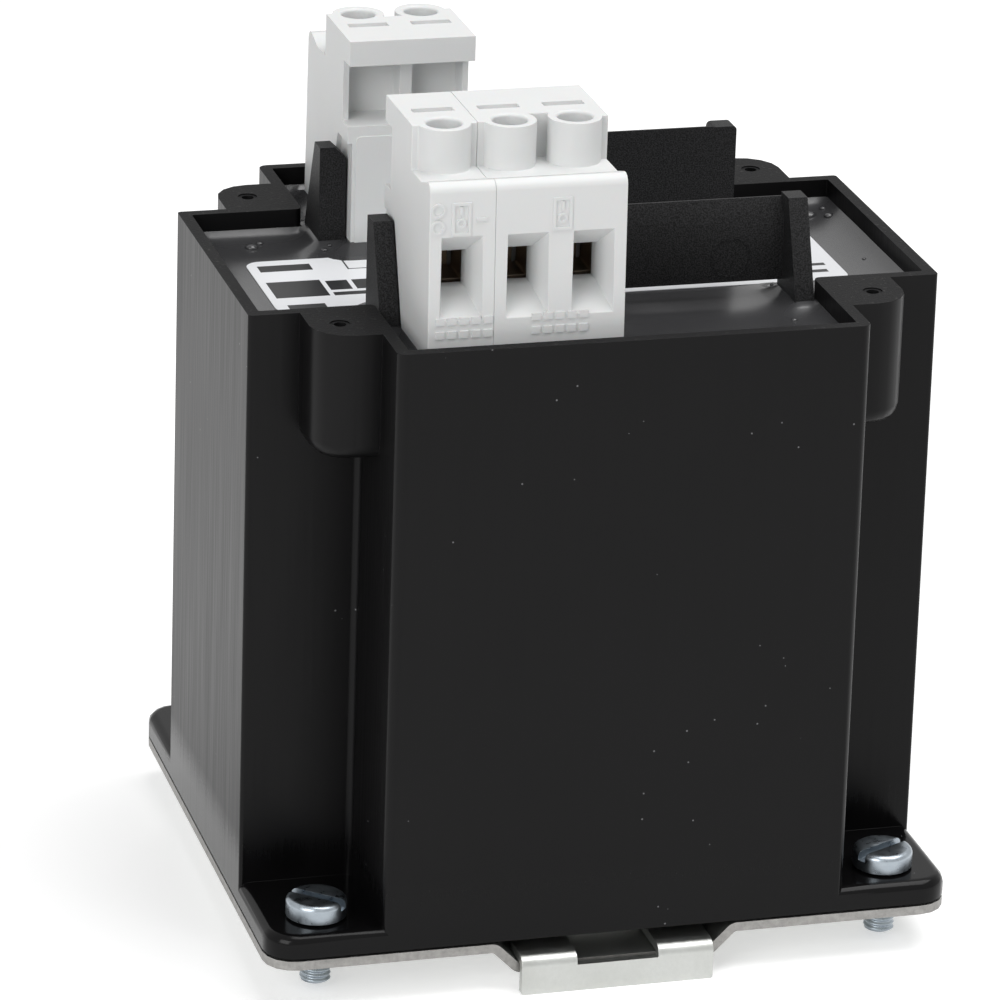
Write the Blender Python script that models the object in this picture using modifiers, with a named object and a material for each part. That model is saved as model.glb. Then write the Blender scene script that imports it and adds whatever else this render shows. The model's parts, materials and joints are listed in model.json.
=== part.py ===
"""Safety isolating transformer, potted in a moulded cup, on a sheet steel foot for a 35 mm rail.

Metres, +Z up. +X is to the right and the primary terminals face -Y.
The origin is the centre of the rail seat, on the underside of the foot's channel.
"""
import bpy
import bmesh
from math import atan2, cos, pi, radians, sin, tan
from mathutils import Matrix, Vector

MM = 0.001

# Clearances
GAP = 0.3 * MM            # between pieces that touch on the real object
MERGE = 0.001 * MM        # welding distance
FLAT = radians(0.1)       # faces that turn less than this are one face
OVERCUT = 1.0 * MM        # how far a cutter runs past the face that it opens
SOFT_EDGE = 30            # degrees below which faces are shaded as one
SOFT_WIRE = 60

# Sheet steel foot
SHEET = 1.2 * MM
JOGGLE = 3.0 * MM         # how far the channel lies below the rest of the foot
JOGGLE_ANGLE = radians(45)
CHANNEL_HALF = 12.9 * MM  # half width of the channel's underside
SHEET_BEND = 0.6 * MM
RAIL_HALF = 17.5 * MM     # half width of the 35 mm rail
RAIL_LIP_SPACE = 1.2 * MM # room for the rail's lip under the seat
CLAW_REACH = 2.0 * MM     # how far a hook grips under the lip
CLAW_WIDTH = 6.0 * MM
CLAW_CENTRE = 9.0 * MM    # of each rear hook, from the middle

# Latch slide
LATCH_TRAVEL = 4.0 * MM
LATCH_SHEET = 1.2 * MM
LATCH_HALF = 11.8 * MM
LATCH_REAR = 13.5 * MM
TAB_HALF = 12.6 * MM
TAB_PROUD = 1.8 * MM      # how far the tab stands in front of the cup
TAB_BEND = 1.5 * MM
NOTCH_HALF = 5.3 * MM
NOTCH_DEPTH = 4.0 * MM
NOSE_HALF = 4.0 * MM
STOP_HALF = 1.4 * MM
STOP_Y = -9.2 * MM        # front face of the stop lug in the foot
STOP_HEIGHT = 2.7 * MM
SPRING_LENGTH = 15.4 * MM
SPRING_RADIUS = 1.15 * MM # of the wire's centre line
SPRING_WIRE = 0.25 * MM   # radius of the wire
SPRING_TURNS = 9
SPRING_POINTS = 9         # per turn

# Moulded cup, measured at its foot
CORE_ROOM_X = 0.95 * MM   # from the core to the cup's inner face
CORE_ROOM_Y = 1.55 * MM
FORMER_ROOM = 0.8 * MM    # from the coil former to the inner face of a bay
STRIP_ROOM = 1.85 * MM    # from a terminal strip to the inner face of a bay
RIM_OVER_RESIN = 3.8 * MM
DRAFT = 0.25 * MM         # how far each side leans in at the rim
WALL = 1.6 * MM           # at the rim
CUP_FLOOR = 2.0 * MM
POD_EDGE = 1.2 * MM       # radius of the upright edges
ARM_EDGE = 0.5 * MM
CROOK_EDGE = 0.9 * MM     # fillet in the four crooks of the cross
FLANGE = 3.0 * MM
FLANGE_CORNER = 4.0 * MM
FLANGE_EDGE = 1.3 * MM
BOSS_BESIDE_BAY = 3.95 * MM
BOSS_BESIDE_ARM = 4.4 * MM
BOSS_SIDE = 3.9 * MM      # from the hole to the boss's outer side
BOSS_RADIUS = 4.8 * MM
BOSS_HEIGHT = 16.5 * MM
BOSS_FOOT_EDGE = 2.2 * MM
BOSS_HOLE = 1.25 * MM
BOSS_HOLE_DEPTH = 10.0 * MM
GUIDE_HALF = 1.0 * MM     # half width of the two ribs over the latch slide
GUIDE_X = 8.5 * MM
GUIDE_LENGTH = 38.0 * MM

# Screws through the flanges
SCREW_FROM_SIDE = 7.4 * MM
SCREW_FROM_FRONT = 6.2 * MM
SCREW_SHANK = 2.0 * MM
SCREW_HEAD = 4.0 * MM
SCREW_HEAD_HEIGHT = 2.4 * MM
SCREW_HEAD_EDGE = 0.8 * MM
SCREW_SLOT = 1.2 * MM
SCREW_SLOT_DEPTH = 1.1 * MM
SCREW_END = 4.3 * MM      # thread that shows under the foot
SCREW_POINT = 0.5 * MM
SCREW_TURNS = {"front_left": 5, "front_right": 37, "rear_left": 64, "rear_right": 118}

# Laminated core
CORE_WIDTH = 84.0 * MM
CORE_STACK = 35.0 * MM
CORE_YOKE = 14.0 * MM     # also the width of an outer leg
CORE_WINDOW = 42.0 * MM   # height of the two windows
CORE_TONGUE = 28.0 * MM

# Coil former
FORMER_WALL = 1.2 * MM
FORMER_SLACK = 0.4 * MM   # round the tongue
FORMER_FLANGE = 1.3 * MM
FORMER_PROUD = 15.3 * MM  # how far its flanges stand out of the stack
PRIMARY_SHARE = 0.56      # of the winding height
WINDING_SINK = 2.2 * MM   # from the flanges' edges to the winding, in depth
WINDING_INSET = 0.6 * MM  # and in width
WINDING_CORNER = 6.0 * MM

# Terminal holders, which are part of the coil former
FINS = (                  # end of the transformer, left side, right side
    (-1, -28.0 * MM, -25.5 * MM),
    (-1, 25.6 * MM, 28.1 * MM),
    (1, -27.6 * MM, -24.1 * MM),
    (1, 24.9 * MM, 28.1 * MM),
)
FIN_OVER_STACK = 4.13 * MM # how far a fin reaches back over the core
FIN_TIP_DEPTH = 2.9 * MM
FIN_ROOT_DEPTH = 9.5 * MM
FIN_OVER_BAR = 0.5 * MM
BAR_OVER_RIM = {-1: 9.2 * MM, 1: 10.0 * MM}
BAR_UPPER_FACE = 3.3 * MM # height of its sloping face
BAR_BELOW_RIM = 1.4 * MM
BAR_SLOPE = 1.3 * MM
BAR_THICKNESS = 1.6 * MM
POST = 1.6 * MM

# Potting resin
RESIN_OVER_CORE = 2.6 * MM

# Terminal strips: heights are above a strip's foot, depths are from its rear rim
POLE_PITCH = 8.25 * MM
SEAM = 0.05 * MM          # taken off each end of a strip
STRIP_FRONT_LEFT = -25.5 * MM
STRIP_BACK_LEFT = -24.45 * MM
STRIP_OVER_STACK = 6.15 * MM # how far a strip reaches back over the core
STRIP_FOOT_OVER_CORE = 1.2 * MM
STRIP_HEIGHT = 29.3 * MM
STRIP_DEPTH = 23.1 * MM   # at its foot
STRIP_FACE = 22.6 * MM    # depth of its leaning front face at the wire entries
STRIP_BROW = 22.2 * MM    # and at the top
STRIP_BROW_HEIGHT = 25.1 * MM
STRIP_EDGE = 1.3 * MM
STRIP_SHOULDER = 23.7 * MM
SHOULDER_FLAT = 17.7 * MM # depth at which the shoulder starts to rise to the front
STRIP_NECK = 12.9 * MM    # depth of the upper part
STRIP_BACK_INSET = 0.3 * MM
RIM_BOTTOM = 26.0 * MM
RECESS_BOTTOM = 18.0 * MM
RECESS_INSET = 3.2 * MM
RECESS_DEPTH = 6.6 * MM
RECESS_SIDE = 0.8 * MM    # wall beside a rear recess
TOWER_DEPTH = 12.4 * MM   # of the screw axis
TOWER_RADIUS = 3.35 * MM
TOWER_HOLE = 2.55 * MM
TOWER_HOLE_BOTTOM = 23.2 * MM
TOWER_SLOT_HALF = 1.6 * MM # half width of the slot between two towers
TOWER_SLOT_REAR = 10.6 * MM
NECK_HOLE = 1.8 * MM
LABEL_SLOT_DEPTH = 7.1 * MM
LABEL_SLOT_HALF = 2.6 * MM
LABEL_SLOT_WIDTH = 0.9 * MM
LABEL_SLOT_SINK = 0.8 * MM
CHAMBER_HALF = 2.8 * MM
CHAMBER_REAR = 8.6 * MM
CHAMBER_FRONT = 16.2 * MM
CHAMBER_TOP = 22.8 * MM
FUNNEL_HALF = 2.6 * MM
FUNNEL_LOW = 7.6 * MM
FUNNEL_HIGH = 18.1 * MM
THROAT_HALF = 1.6 * MM
THROAT_LOW = 10.2 * MM
THROAT_HIGH = 15.0 * MM
THROAT_DEPTH = 18.4 * MM

# Clamps inside the terminal strips
BAR_UNDERSIDE = 15.0 * MM
CURRENT_BAR = 1.0 * MM
CURRENT_BAR_HALF = 1.6 * MM
LUG = 0.7 * MM
LUG_FOOT = 1.0 * MM
CAGE_HALF = 2.5 * MM
CAGE_SIDE = 0.5 * MM
CAGE_REAR = 9.9 * MM
CAGE_FRONT = 15.0 * MM
CAGE_BOTTOM = 9.4 * MM
CAGE_FLOOR = 0.8 * MM
CAGE_ROOF_LOW = 17.0 * MM
CAGE_TOP = 18.2 * MM
CLAMP_SHANK = 1.5 * MM
CLAMP_HEAD = 2.25 * MM
CLAMP_HEAD_HEIGHT = 1.9 * MM
CLAMP_SLOT = 0.8 * MM
CLAMP_SLOT_DEPTH = 0.9 * MM
CLAMP_EDGE = 0.3 * MM

# Leads from the windings to the terminals
LEAD_RADIUS = 0.6 * MM
LEAD_BEND = 3.0 * MM
LEAD_LIFT = 3.0 * MM      # straight stretch over the coil former and under the lug

# Heights that follow, from the ground up
SEAT_TOP = SHEET
FOOT_TOP = JOGGLE + SHEET
GROUND = -RAIL_LIP_SPACE - SHEET
CUP_BASE = FOOT_TOP + GAP
CUP_INSIDE = CUP_BASE + CUP_FLOOR
CORE_BASE = CUP_INSIDE + GAP
WINDOW_LOW = CORE_BASE + CORE_YOKE
WINDOW_HIGH = WINDOW_LOW + CORE_WINDOW
CORE_TOP = WINDOW_HIGH + GAP + CORE_YOKE
STRIP_FOOT = CORE_TOP + STRIP_FOOT_OVER_CORE + GAP
RESIN_TOP = CORE_TOP + RESIN_OVER_CORE
RIM = RESIN_TOP + RIM_OVER_RESIN

# Half sizes that follow, from the middle outwards
FORMER_SIDE = CORE_WIDTH / 2 - CORE_YOKE - FORMER_SLACK
FORMER_REACH = CORE_STACK / 2 + FORMER_PROUD
WINDING_SIDE = FORMER_SIDE - WINDING_INSET
WINDING_REACH = FORMER_REACH - WINDING_SINK
FIN_BACK = CORE_STACK / 2 - FIN_OVER_STACK
FIN_TIP = FIN_BACK + FIN_TIP_DEPTH
FIN_ROOT = FIN_BACK + FIN_ROOT_DEPTH
STRIP_REAR = CORE_STACK / 2 - STRIP_OVER_STACK
SKIN = WALL + DRAFT
ARM_X = CORE_WIDTH / 2 + CORE_ROOM_X + SKIN
ARM_Y = CORE_STACK / 2 + CORE_ROOM_Y + SKIN
POD_X = FORMER_SIDE + FORMER_ROOM + SKIN
CUP_FRONT = STRIP_REAR + STRIP_DEPTH + STRIP_ROOM + SKIN
SCREW_X = ARM_X - SCREW_FROM_SIDE
SCREW_Y = CUP_FRONT - SCREW_FROM_FRONT
BOSS_X = POD_X + BOSS_BESIDE_BAY
BOSS_Y = ARM_Y + BOSS_BESIDE_ARM
ARC_STEPS = 4
ROUND_STEPS = 24

COLOURS = {
    "black_plastic": ((0.012, 0.012, 0.013), 0.42, 0.0),
    "former_plastic": ((0.016, 0.016, 0.016), 0.7, 0.0),
    "resin": ((0.09, 0.093, 0.1), 0.15, 0.0),
    "terminal_plastic": ((0.62, 0.63, 0.62), 0.5, 0.0),
    "zinc_steel": ((0.62, 0.64, 0.64), 0.35, 1.0),
    "spring_steel": ((0.5, 0.5, 0.5), 0.3, 1.0),
    "core_steel": ((0.32, 0.33, 0.35), 0.5, 1.0),
    "copper": ((0.72, 0.34, 0.18), 0.35, 1.0),
    "brass": ((0.62, 0.48, 0.25), 0.35, 1.0),
}


def clear_scene():
    """Starts from an empty file."""
    for item in list(bpy.data.objects):
        bpy.data.objects.remove(item)


def new_collection(name):
    """Adds a collection to the scene."""
    collection = bpy.data.collections.new(name)
    bpy.context.scene.collection.children.link(collection)
    return collection


clear_scene()
PARTS = new_collection("safety_isolating_transformer")
CUTTERS = new_collection("cutters")


def finish(name):
    """The named finish, made once."""
    if name in bpy.data.materials:
        return bpy.data.materials[name]
    colour, roughness, metallic = COLOURS[name]
    material = bpy.data.materials.new(name)
    material.use_nodes = True
    shader = material.node_tree.nodes["Principled BSDF"]
    shader.inputs["Base Color"].default_value = (*colour, 1)
    shader.inputs["Roughness"].default_value = roughness
    shader.inputs["Metallic"].default_value = metallic
    material.diffuse_color = (*colour, 1)
    return material


def corner_arc(before, here, after, radius):
    """Points of the arc that rounds one corner of an outline."""
    to_before = (before - here).normalized()
    to_after = (after - here).normalized()
    half = to_before.angle(to_after) / 2
    centre = here + (to_before + to_after).normalized() * (radius / sin(half))
    start = here + to_before * (radius / tan(half)) - centre
    end = here + to_after * (radius / tan(half)) - centre
    first = atan2(start.y, start.x)
    sweep = (atan2(end.y, end.x) - first + pi) % (2 * pi) - pi
    angles = [first + sweep * step / ARC_STEPS for step in range(ARC_STEPS + 1)]
    return [centre + Vector((cos(angle), sin(angle))) * radius for angle in angles]


def rounded(corners, closed=True):
    """An outline from corners (x, y) or (x, y, radius)."""
    points = [Vector(corner[:2]) for corner in corners]
    outline = []
    for index, corner in enumerate(corners):
        is_end = not closed and index in (0, len(corners) - 1)
        if len(corner) < 3 or is_end:
            outline.append(points[index])
            continue
        after = points[(index + 1) % len(points)]
        outline += corner_arc(points[index - 1], points[index], after, corner[2])
    return outline


def rectangle(low_a, high_a, low_b, high_b, radius=None):
    """A rectangle's outline, with round corners where a radius is given."""
    extra = () if radius is None else (radius,)
    sides = ((low_a, low_b), (high_a, low_b), (high_a, high_b), (low_a, high_b))
    return rounded([(*side, *extra) for side in sides])


AXES = {
    "X": Matrix(((0, 0, 1, 0), (1, 0, 0, 0), (0, 1, 0, 0), (0, 0, 0, 1))),
    "Y": Matrix(((1, 0, 0, 0), (0, 0, -1, 0), (0, 1, 0, 0), (0, 0, 0, 1))),
    "Z": Matrix.Identity(4),
}


def frozen(item):
    """The evaluated mesh of an object, welded; the object is removed."""
    bpy.context.view_layer.update()
    evaluated = item.evaluated_get(bpy.context.evaluated_depsgraph_get())
    mesh = bpy.data.meshes.new_from_object(evaluated)
    mesh.transform(item.matrix_world)
    shape = bmesh.new()
    shape.from_mesh(mesh)
    bmesh.ops.remove_doubles(shape, verts=shape.verts, dist=MERGE)
    bmesh.ops.recalc_face_normals(shape, faces=shape.faces)
    shape.to_mesh(mesh)
    shape.free()
    bpy.data.objects.remove(item)
    return mesh


def flatten_caps(mesh):
    """Joins the fill's triangles into whole flat faces."""
    shape = bmesh.new()
    shape.from_mesh(mesh)
    bmesh.ops.dissolve_limit(shape, angle_limit=FLAT, verts=shape.verts, edges=shape.edges)
    shape.to_mesh(mesh)
    shape.free()
    return mesh


def place(name, mesh, collection):
    """Links a new object that shows the mesh."""
    item = bpy.data.objects.new(name, mesh)
    collection.objects.link(item)
    return item


def extruded(name, outlines, low, high, axis="Z", collection=None):
    """A flat outline, with holes if more are given, run from low to high along an axis."""
    curve = bpy.data.curves.new(name, "CURVE")
    curve.dimensions = "2D"
    curve.fill_mode = "BOTH"
    curve.extrude = (high - low) / 2
    for outline in outlines:
        spline = curve.splines.new("POLY")
        spline.points.add(len(outline) - 1)
        spline.use_cyclic_u = True
        for point, (across, along) in zip(spline.points, outline):
            point.co = (across, along, 0, 1)
    item = place(name, curve, PARTS)
    middle = (low + high) / 2
    side = -1 if axis == "Y" else 1
    item.matrix_world = AXES[axis] @ Matrix.Translation((0, 0, side * middle))
    return place(name, flatten_caps(frozen(item)), collection or PARTS)


def box(name, x, y, z, collection=None):
    """A block between the given pairs of limits."""
    bpy.ops.mesh.primitive_cube_add(size=1)
    item = bpy.context.object
    item.scale = [high - low for low, high in (x, y, z)]
    item.location = [(low + high) / 2 for low, high in (x, y, z)]
    return place(name, frozen(item), collection or PARTS)


def cylinder(name, x, y, radius, low, high, collection=None):
    """An upright cylinder."""
    bpy.ops.mesh.primitive_cylinder_add(vertices=ROUND_STEPS, radius=radius, depth=high - low)
    item = bpy.context.object
    item.location = (x, y, (low + high) / 2)
    return place(name, frozen(item), collection or PARTS)


def turned(name, profile):
    """A turned solid from a profile of (radius, height) that runs from top to bottom."""
    mesh = bpy.data.meshes.new(name)
    points = [(radius, 0, height) for radius, height in profile]
    edges = [(index, index + 1) for index in range(len(points) - 1)]
    mesh.from_pydata(points, edges, [])
    item = place(name, mesh, PARTS)
    screw = item.modifiers.new("turn", "SCREW")
    screw.steps = ROUND_STEPS
    screw.render_steps = ROUND_STEPS
    screw.use_merge_vertices = True
    screw.merge_threshold = MERGE
    return place(name, frozen(item), PARTS)


def tube(name, points, radius, resolution=2, collection=None):
    """A wire along the points, with closed ends."""
    curve = bpy.data.curves.new(name, "CURVE")
    curve.dimensions = "3D"
    curve.bevel_depth = radius
    curve.bevel_resolution = resolution
    curve.use_fill_caps = True
    spline = curve.splines.new("POLY")
    spline.points.add(len(points) - 1)
    for point, place_at in zip(spline.points, points):
        point.co = (*place_at, 1)
    return place(name, frozen(place(name, curve, PARTS)), collection or PARTS)


def bevelled(item, width, segments, keep):
    """Rounds the edges for which keep(first, second) is true."""
    shape = bmesh.new()
    shape.from_mesh(item.data)
    edges = [edge for edge in shape.edges if keep(edge.verts[0].co, edge.verts[1].co)]
    bmesh.ops.bevel(shape, geom=edges, offset=width, segments=segments, profile=0.5, affect="EDGES")
    shape.to_mesh(item.data)
    shape.free()
    return item


def combine(item, other, operation):
    """Joins, cuts or crosses an object with another, which becomes a guide."""
    for collection in list(other.users_collection):
        collection.objects.unlink(other)
    CUTTERS.objects.link(other)
    other.hide_render = True
    other.display_type = "WIRE"
    modifier = item.modifiers.new(other.name, "BOOLEAN")
    modifier.operation = operation
    modifier.solver = "EXACT"
    modifier.object = other


def join(item, *others):
    """Adds solids to an object."""
    for other in others:
        combine(item, other, "UNION")


def cut(item, *others):
    """Takes solids out of an object."""
    for other in others:
        combine(item, other, "DIFFERENCE")


def settle(item):
    """Applies the modifiers and gives the object back with a plain mesh."""
    name = item.name
    mesh = frozen(item)
    return place(name, mesh, PARTS)


def dress(item, material, smooth_under=None):
    """Gives an object its finish, and shades it smooth below an angle."""
    item.data.materials.clear()
    item.data.materials.append(finish(material))
    if smooth_under is not None:
        item.data.shade_smooth()
        item.data.set_sharp_from_angle(angle=radians(smooth_under))
    return item


def cross_block(name, inset, low, high, collection=None):
    """A block with the cup's cross-shaped plan, its sides moved inwards by inset."""
    arm_x = ARM_X - inset
    arm_y = ARM_Y - inset
    pod_x = POD_X - inset
    pod_y = CUP_FRONT - inset
    arm_edge = max(ARM_EDGE - inset, ARM_EDGE / 2)
    pod_edge = max(POD_EDGE - inset, ARM_EDGE / 2)
    block = extruded(name, [rectangle(-arm_x, arm_x, -arm_y, arm_y, arm_edge)], low, high)
    join(block, extruded("pods", [rectangle(-pod_x, pod_x, -pod_y, pod_y, pod_edge)], low, high))
    block = place(name, flatten_caps(frozen(block)), collection or PARTS)

    def is_crook(*ends):
        return all(abs(abs(end.x) - pod_x) + abs(abs(end.y) - arm_y) < MERGE for end in ends)

    return bevelled(block, CROOK_EDGE, ARC_STEPS, is_crook)


def leaned(item, low, high, draft):
    """Leans the sides of a block inwards from the height low up to its top."""
    shape = bmesh.new()
    shape.from_mesh(item.data)
    geometry = [*shape.verts, *shape.edges, *shape.faces]
    bmesh.ops.bisect_plane(shape, geom=geometry, plane_co=(0, 0, low), plane_no=(0, 0, 1))
    for vertex in shape.verts:
        if vertex.co.z > high - MERGE:
            vertex.co.x -= draft if vertex.co.x > 0 else -draft
            vertex.co.y -= draft if vertex.co.y > 0 else -draft
    shape.to_mesh(item.data)
    shape.free()
    return item


def four_corners(x, y):
    """The four places (x, y) mirrored about the middle."""
    return [(side * x, end * y) for end in (-1, 1) for side in (-1, 1)]


def corner_boss(x, y):
    """A screw boss that fills one crook of the cross under the rim."""
    side = 1 if x > 0 else -1
    end = 1 if y > 0 else -1
    near_x = POD_X - DRAFT - WALL / 2
    near_y = ARM_Y - DRAFT - WALL / 2
    far_x = BOSS_X + BOSS_SIDE
    far_y = BOSS_Y + BOSS_RADIUS
    plan = [(near_x, near_y), (far_x, near_y), (far_x, far_y, BOSS_RADIUS), (near_x, far_y)]
    outline = rounded([(side * across, end * along, *rest) for across, along, *rest in plan])
    boss = extruded("boss", [outline], RIM - BOSS_HEIGHT, RIM)

    def is_outer(point):
        return abs(point.x) > near_x + MERGE and abs(point.y) > near_y + MERGE

    def is_foot(first, second):
        on_foot = max(first.z, second.z) < RIM - BOSS_HEIGHT + MERGE
        return on_foot and (is_outer(first) or is_outer(second))

    return bevelled(boss, BOSS_FOOT_EDGE, ARC_STEPS - 1, is_foot)


def make_cup():
    """The moulded cup with its four flanges, bosses and latch guides."""
    cup = leaned(cross_block("housing", 0, CUP_BASE, RIM), CUP_BASE + FLANGE, RIM, DRAFT)
    outline = rectangle(-ARM_X, ARM_X, -CUP_FRONT, CUP_FRONT, FLANGE_CORNER)
    flange = extruded("flange", [outline], CUP_BASE, CUP_BASE + FLANGE)
    top = CUP_BASE + FLANGE - MERGE
    bevelled(flange, FLANGE_EDGE, ARC_STEPS - 1, lambda first, second: min(first.z, second.z) > top)
    join(cup, flange)
    for x, y in four_corners(BOSS_X, BOSS_Y):
        join(cup, corner_boss(x, y))
    rib_y = (LATCH_REAR - GUIDE_LENGTH, LATCH_REAR)
    rib_z = (SEAT_TOP + GAP + LATCH_SHEET + GAP, CUP_BASE + CUP_FLOOR / 2)
    for x in (-GUIDE_X, GUIDE_X):
        join(cup, box("guide", (x - GUIDE_HALF, x + GUIDE_HALF), rib_y, rib_z))
    cut(cup, cross_block("cup_hollow", SKIN, CUP_INSIDE, RIM + OVERCUT))
    for x, y in four_corners(BOSS_X, BOSS_Y):
        cut(cup, cylinder("boss_hole", x, y, BOSS_HOLE, RIM - BOSS_HOLE_DEPTH, RIM + OVERCUT))
    for x, y in four_corners(SCREW_X, SCREW_Y):
        top = CUP_BASE + FLANGE + OVERCUT
        cut(cup, cylinder("flange_hole", x, y, SCREW_SHANK + GAP, CUP_BASE - OVERCUT, top))
    dress(settle(cup), "black_plastic", SOFT_EDGE)


def sheet_profile():
    """Section of the foot across the rail's run, with its lowered channel."""
    shift = SHEET * tan(JOGGLE_ANGLE / 2)
    low = CHANNEL_HALF
    high = CHANNEL_HALF + JOGGLE / tan(JOGGLE_ANGLE)
    inner = SHEET_BEND
    outer = SHEET_BEND + SHEET
    half = ARM_X
    upper = ((half, FOOT_TOP), (high - shift, FOOT_TOP, outer), (low - shift, SHEET, inner))
    lower = ((half, JOGGLE), (high, JOGGLE, inner), (low, 0, outer))
    corners = list(upper)
    corners += [(-x, *rest) for x, *rest in reversed(upper)]
    corners += [(-x, *rest) for x, *rest in lower]
    corners += list(reversed(lower))
    return rounded(corners)


def claw_profile(lip, tip, back):
    """Section of a hook that drops from a sheet and grips under the rail's lip; y first."""
    inner = GAP
    outer = SHEET
    return rounded([
        (lip - CLAW_REACH, SHEET), (back, SHEET, outer), (back, GROUND, outer), (tip, GROUND),
        (tip, GROUND + SHEET), (back - SHEET, GROUND + SHEET, inner), (back - SHEET, 0, inner),
        (lip - CLAW_REACH, 0),
    ])


def make_foot():
    """The sheet steel foot with its channel, rear hooks and stop lug."""
    foot = extruded("base_plate", [sheet_profile()], -CUP_FRONT, CUP_FRONT, "Y")
    outline = rectangle(-ARM_X, ARM_X, -CUP_FRONT, CUP_FRONT, FLANGE_CORNER)
    combine(foot, extruded("foot_plan", [outline], GROUND - OVERCUT, FOOT_TOP + OVERCUT), "INTERSECT")
    for x, y in four_corners(SCREW_X, SCREW_Y):
        cut(foot, cylinder("foot_hole", x, y, SCREW_SHANK + GAP, -OVERCUT, FOOT_TOP + OVERCUT))
    through = (-OVERCUT, SHEET + OVERCUT)
    nose_window = (NOSE_HALF + GAP) * Vector((-1, 1))
    nose_y = (-RAIL_HALF - GAP - SHEET - LATCH_TRAVEL - GAP, -RAIL_HALF + CLAW_REACH + GAP)
    cut(foot, box("nose_window", nose_window, nose_y, through))
    claw_back = RAIL_HALF + GAP + SHEET
    claw_length = CLAW_REACH + SHEET + RAIL_LIP_SPACE + SHEET
    for side in (-1, 1):
        x = (side * CLAW_CENTRE - CLAW_WIDTH / 2, side * CLAW_CENTRE + CLAW_WIDTH / 2)
        window_x = (x[0] - GAP, x[1] + GAP)
        cut(foot, box("claw_window", window_x, (claw_back - SHEET, claw_back + claw_length), through))
        claw = extruded("claw", [claw_profile(RAIL_HALF, RAIL_HALF - CLAW_REACH, claw_back)], *x, "X")
        join(foot, claw)
    lug_y = (STOP_Y, STOP_Y + SHEET)
    window_x = (-STOP_HALF - GAP, STOP_HALF + GAP)
    cut(foot, box("stop_window", window_x, (lug_y[1], lug_y[1] + STOP_HEIGHT), through))
    lug = box("stop_lug", (-STOP_HALF, STOP_HALF), lug_y, (SHEET / 2, SHEET + STOP_HEIGHT))
    join(foot, lug)
    dress(settle(foot), "zinc_steel", SOFT_EDGE)


def make_latch():
    """The latch slide with its screwdriver tab and the nose that grips the rail."""
    low = SEAT_TOP + GAP
    high = low + LATCH_SHEET
    face = -CUP_FRONT - TAB_PROUD
    tab_profile = rounded([
        (-CUP_FRONT + NOTCH_DEPTH, high), (face, high, TAB_BEND), (face, GROUND),
        (face + LATCH_SHEET, GROUND), (face + LATCH_SHEET, low, GAP), (-CUP_FRONT + NOTCH_DEPTH, low),
    ])
    latch = extruded("rail_latch", [tab_profile], -TAB_HALF, TAB_HALF, "X")

    def is_corner(first, second):
        return max(first.z, second.z) < GROUND + MERGE and abs(first.x - second.x) < MERGE

    bevelled(latch, GAP, ARC_STEPS // 2, is_corner)
    bar = box("latch_bar", (-LATCH_HALF, LATCH_HALF), (-CUP_FRONT + SHEET, LATCH_REAR), (low, high))
    join(latch, bar)
    back = RAIL_HALF + GAP + SHEET
    nose_profile = rounded([
        (-back, high), (-back, GROUND, SHEET), (-RAIL_HALF + CLAW_REACH, GROUND),
        (-RAIL_HALF + CLAW_REACH, GROUND + SHEET), (-back + SHEET, GROUND + SHEET, GAP),
        (-back + SHEET, high),
    ])
    join(latch, extruded("nose", [nose_profile], -NOSE_HALF, NOSE_HALF, "X"))
    notch_y = (face - OVERCUT, face + NOTCH_DEPTH)
    notch_z = (high - TAB_BEND, high + OVERCUT)
    cut(latch, box("notch", (-NOTCH_HALF, NOTCH_HALF), notch_y, notch_z))
    window_y = (STOP_Y - GAP, STOP_Y + SHEET + GAP + SPRING_LENGTH + GAP)
    window_x = (-STOP_HALF - GAP, STOP_HALF + GAP)
    cut(latch, box("spring_window", window_x, window_y, (low - OVERCUT, high + OVERCUT)))
    dress(settle(latch), "zinc_steel", SOFT_EDGE)


def make_spring():
    """The compression spring that pushes the latch slide back under the rail."""
    count = SPRING_TURNS * SPRING_POINTS
    start = STOP_Y + SHEET + GAP + SPRING_WIRE
    length = SPRING_LENGTH - 2 * SPRING_WIRE
    middle = (SEAT_TOP + CUP_BASE) / 2
    points = []
    for index in range(count + 1):
        angle = 2 * pi * index / SPRING_POINTS
        y = start + length * index / count
        points.append((SPRING_RADIUS * cos(angle), y, middle + SPRING_RADIUS * sin(angle)))
    dress(tube("latch_spring", points, SPRING_WIRE, resolution=1), "spring_steel", SOFT_WIRE)


def slotted_screw(name, shank, head_shape, slot_shape, length):
    """A slotted screw whose head rests at height 0; the mesh is given back."""
    head, head_height, edge = head_shape
    slot, slot_depth = slot_shape
    crown = [(head, 0), (head, head_height, edge), (0, head_height)]
    point = min(SCREW_POINT, shank / 2)
    stem = [(0, -length), (shank - point, -length), (shank, point - length), (shank, 0)]
    screw = turned(name, reversed(rounded([*stem, *crown], closed=False)))
    depth = (head_height - slot_depth, head_height + OVERCUT)
    cut(screw, box("screw_slot", (-head - OVERCUT, head + OVERCUT), (-slot / 2, slot / 2), depth))
    return frozen(screw)


def make_flange_screws():
    """Four slotted pan head screws through the flanges and the foot."""
    seat = CUP_BASE + FLANGE + GAP
    length = seat - JOGGLE + SCREW_END
    head = (SCREW_HEAD, SCREW_HEAD_HEIGHT, SCREW_HEAD_EDGE)
    mesh = slotted_screw("flange_screw", SCREW_SHANK, head, (SCREW_SLOT, SCREW_SLOT_DEPTH), length)
    places = four_corners(SCREW_X, SCREW_Y)
    for (corner, turn), (x, y) in zip(SCREW_TURNS.items(), places):
        screw = place(f"flange_screw_{corner}", mesh, PARTS)
        screw.location = (x, y, seat)
        screw.rotation_euler.z = radians(turn)
        dress(screw, "zinc_steel", SOFT_EDGE)


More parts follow.
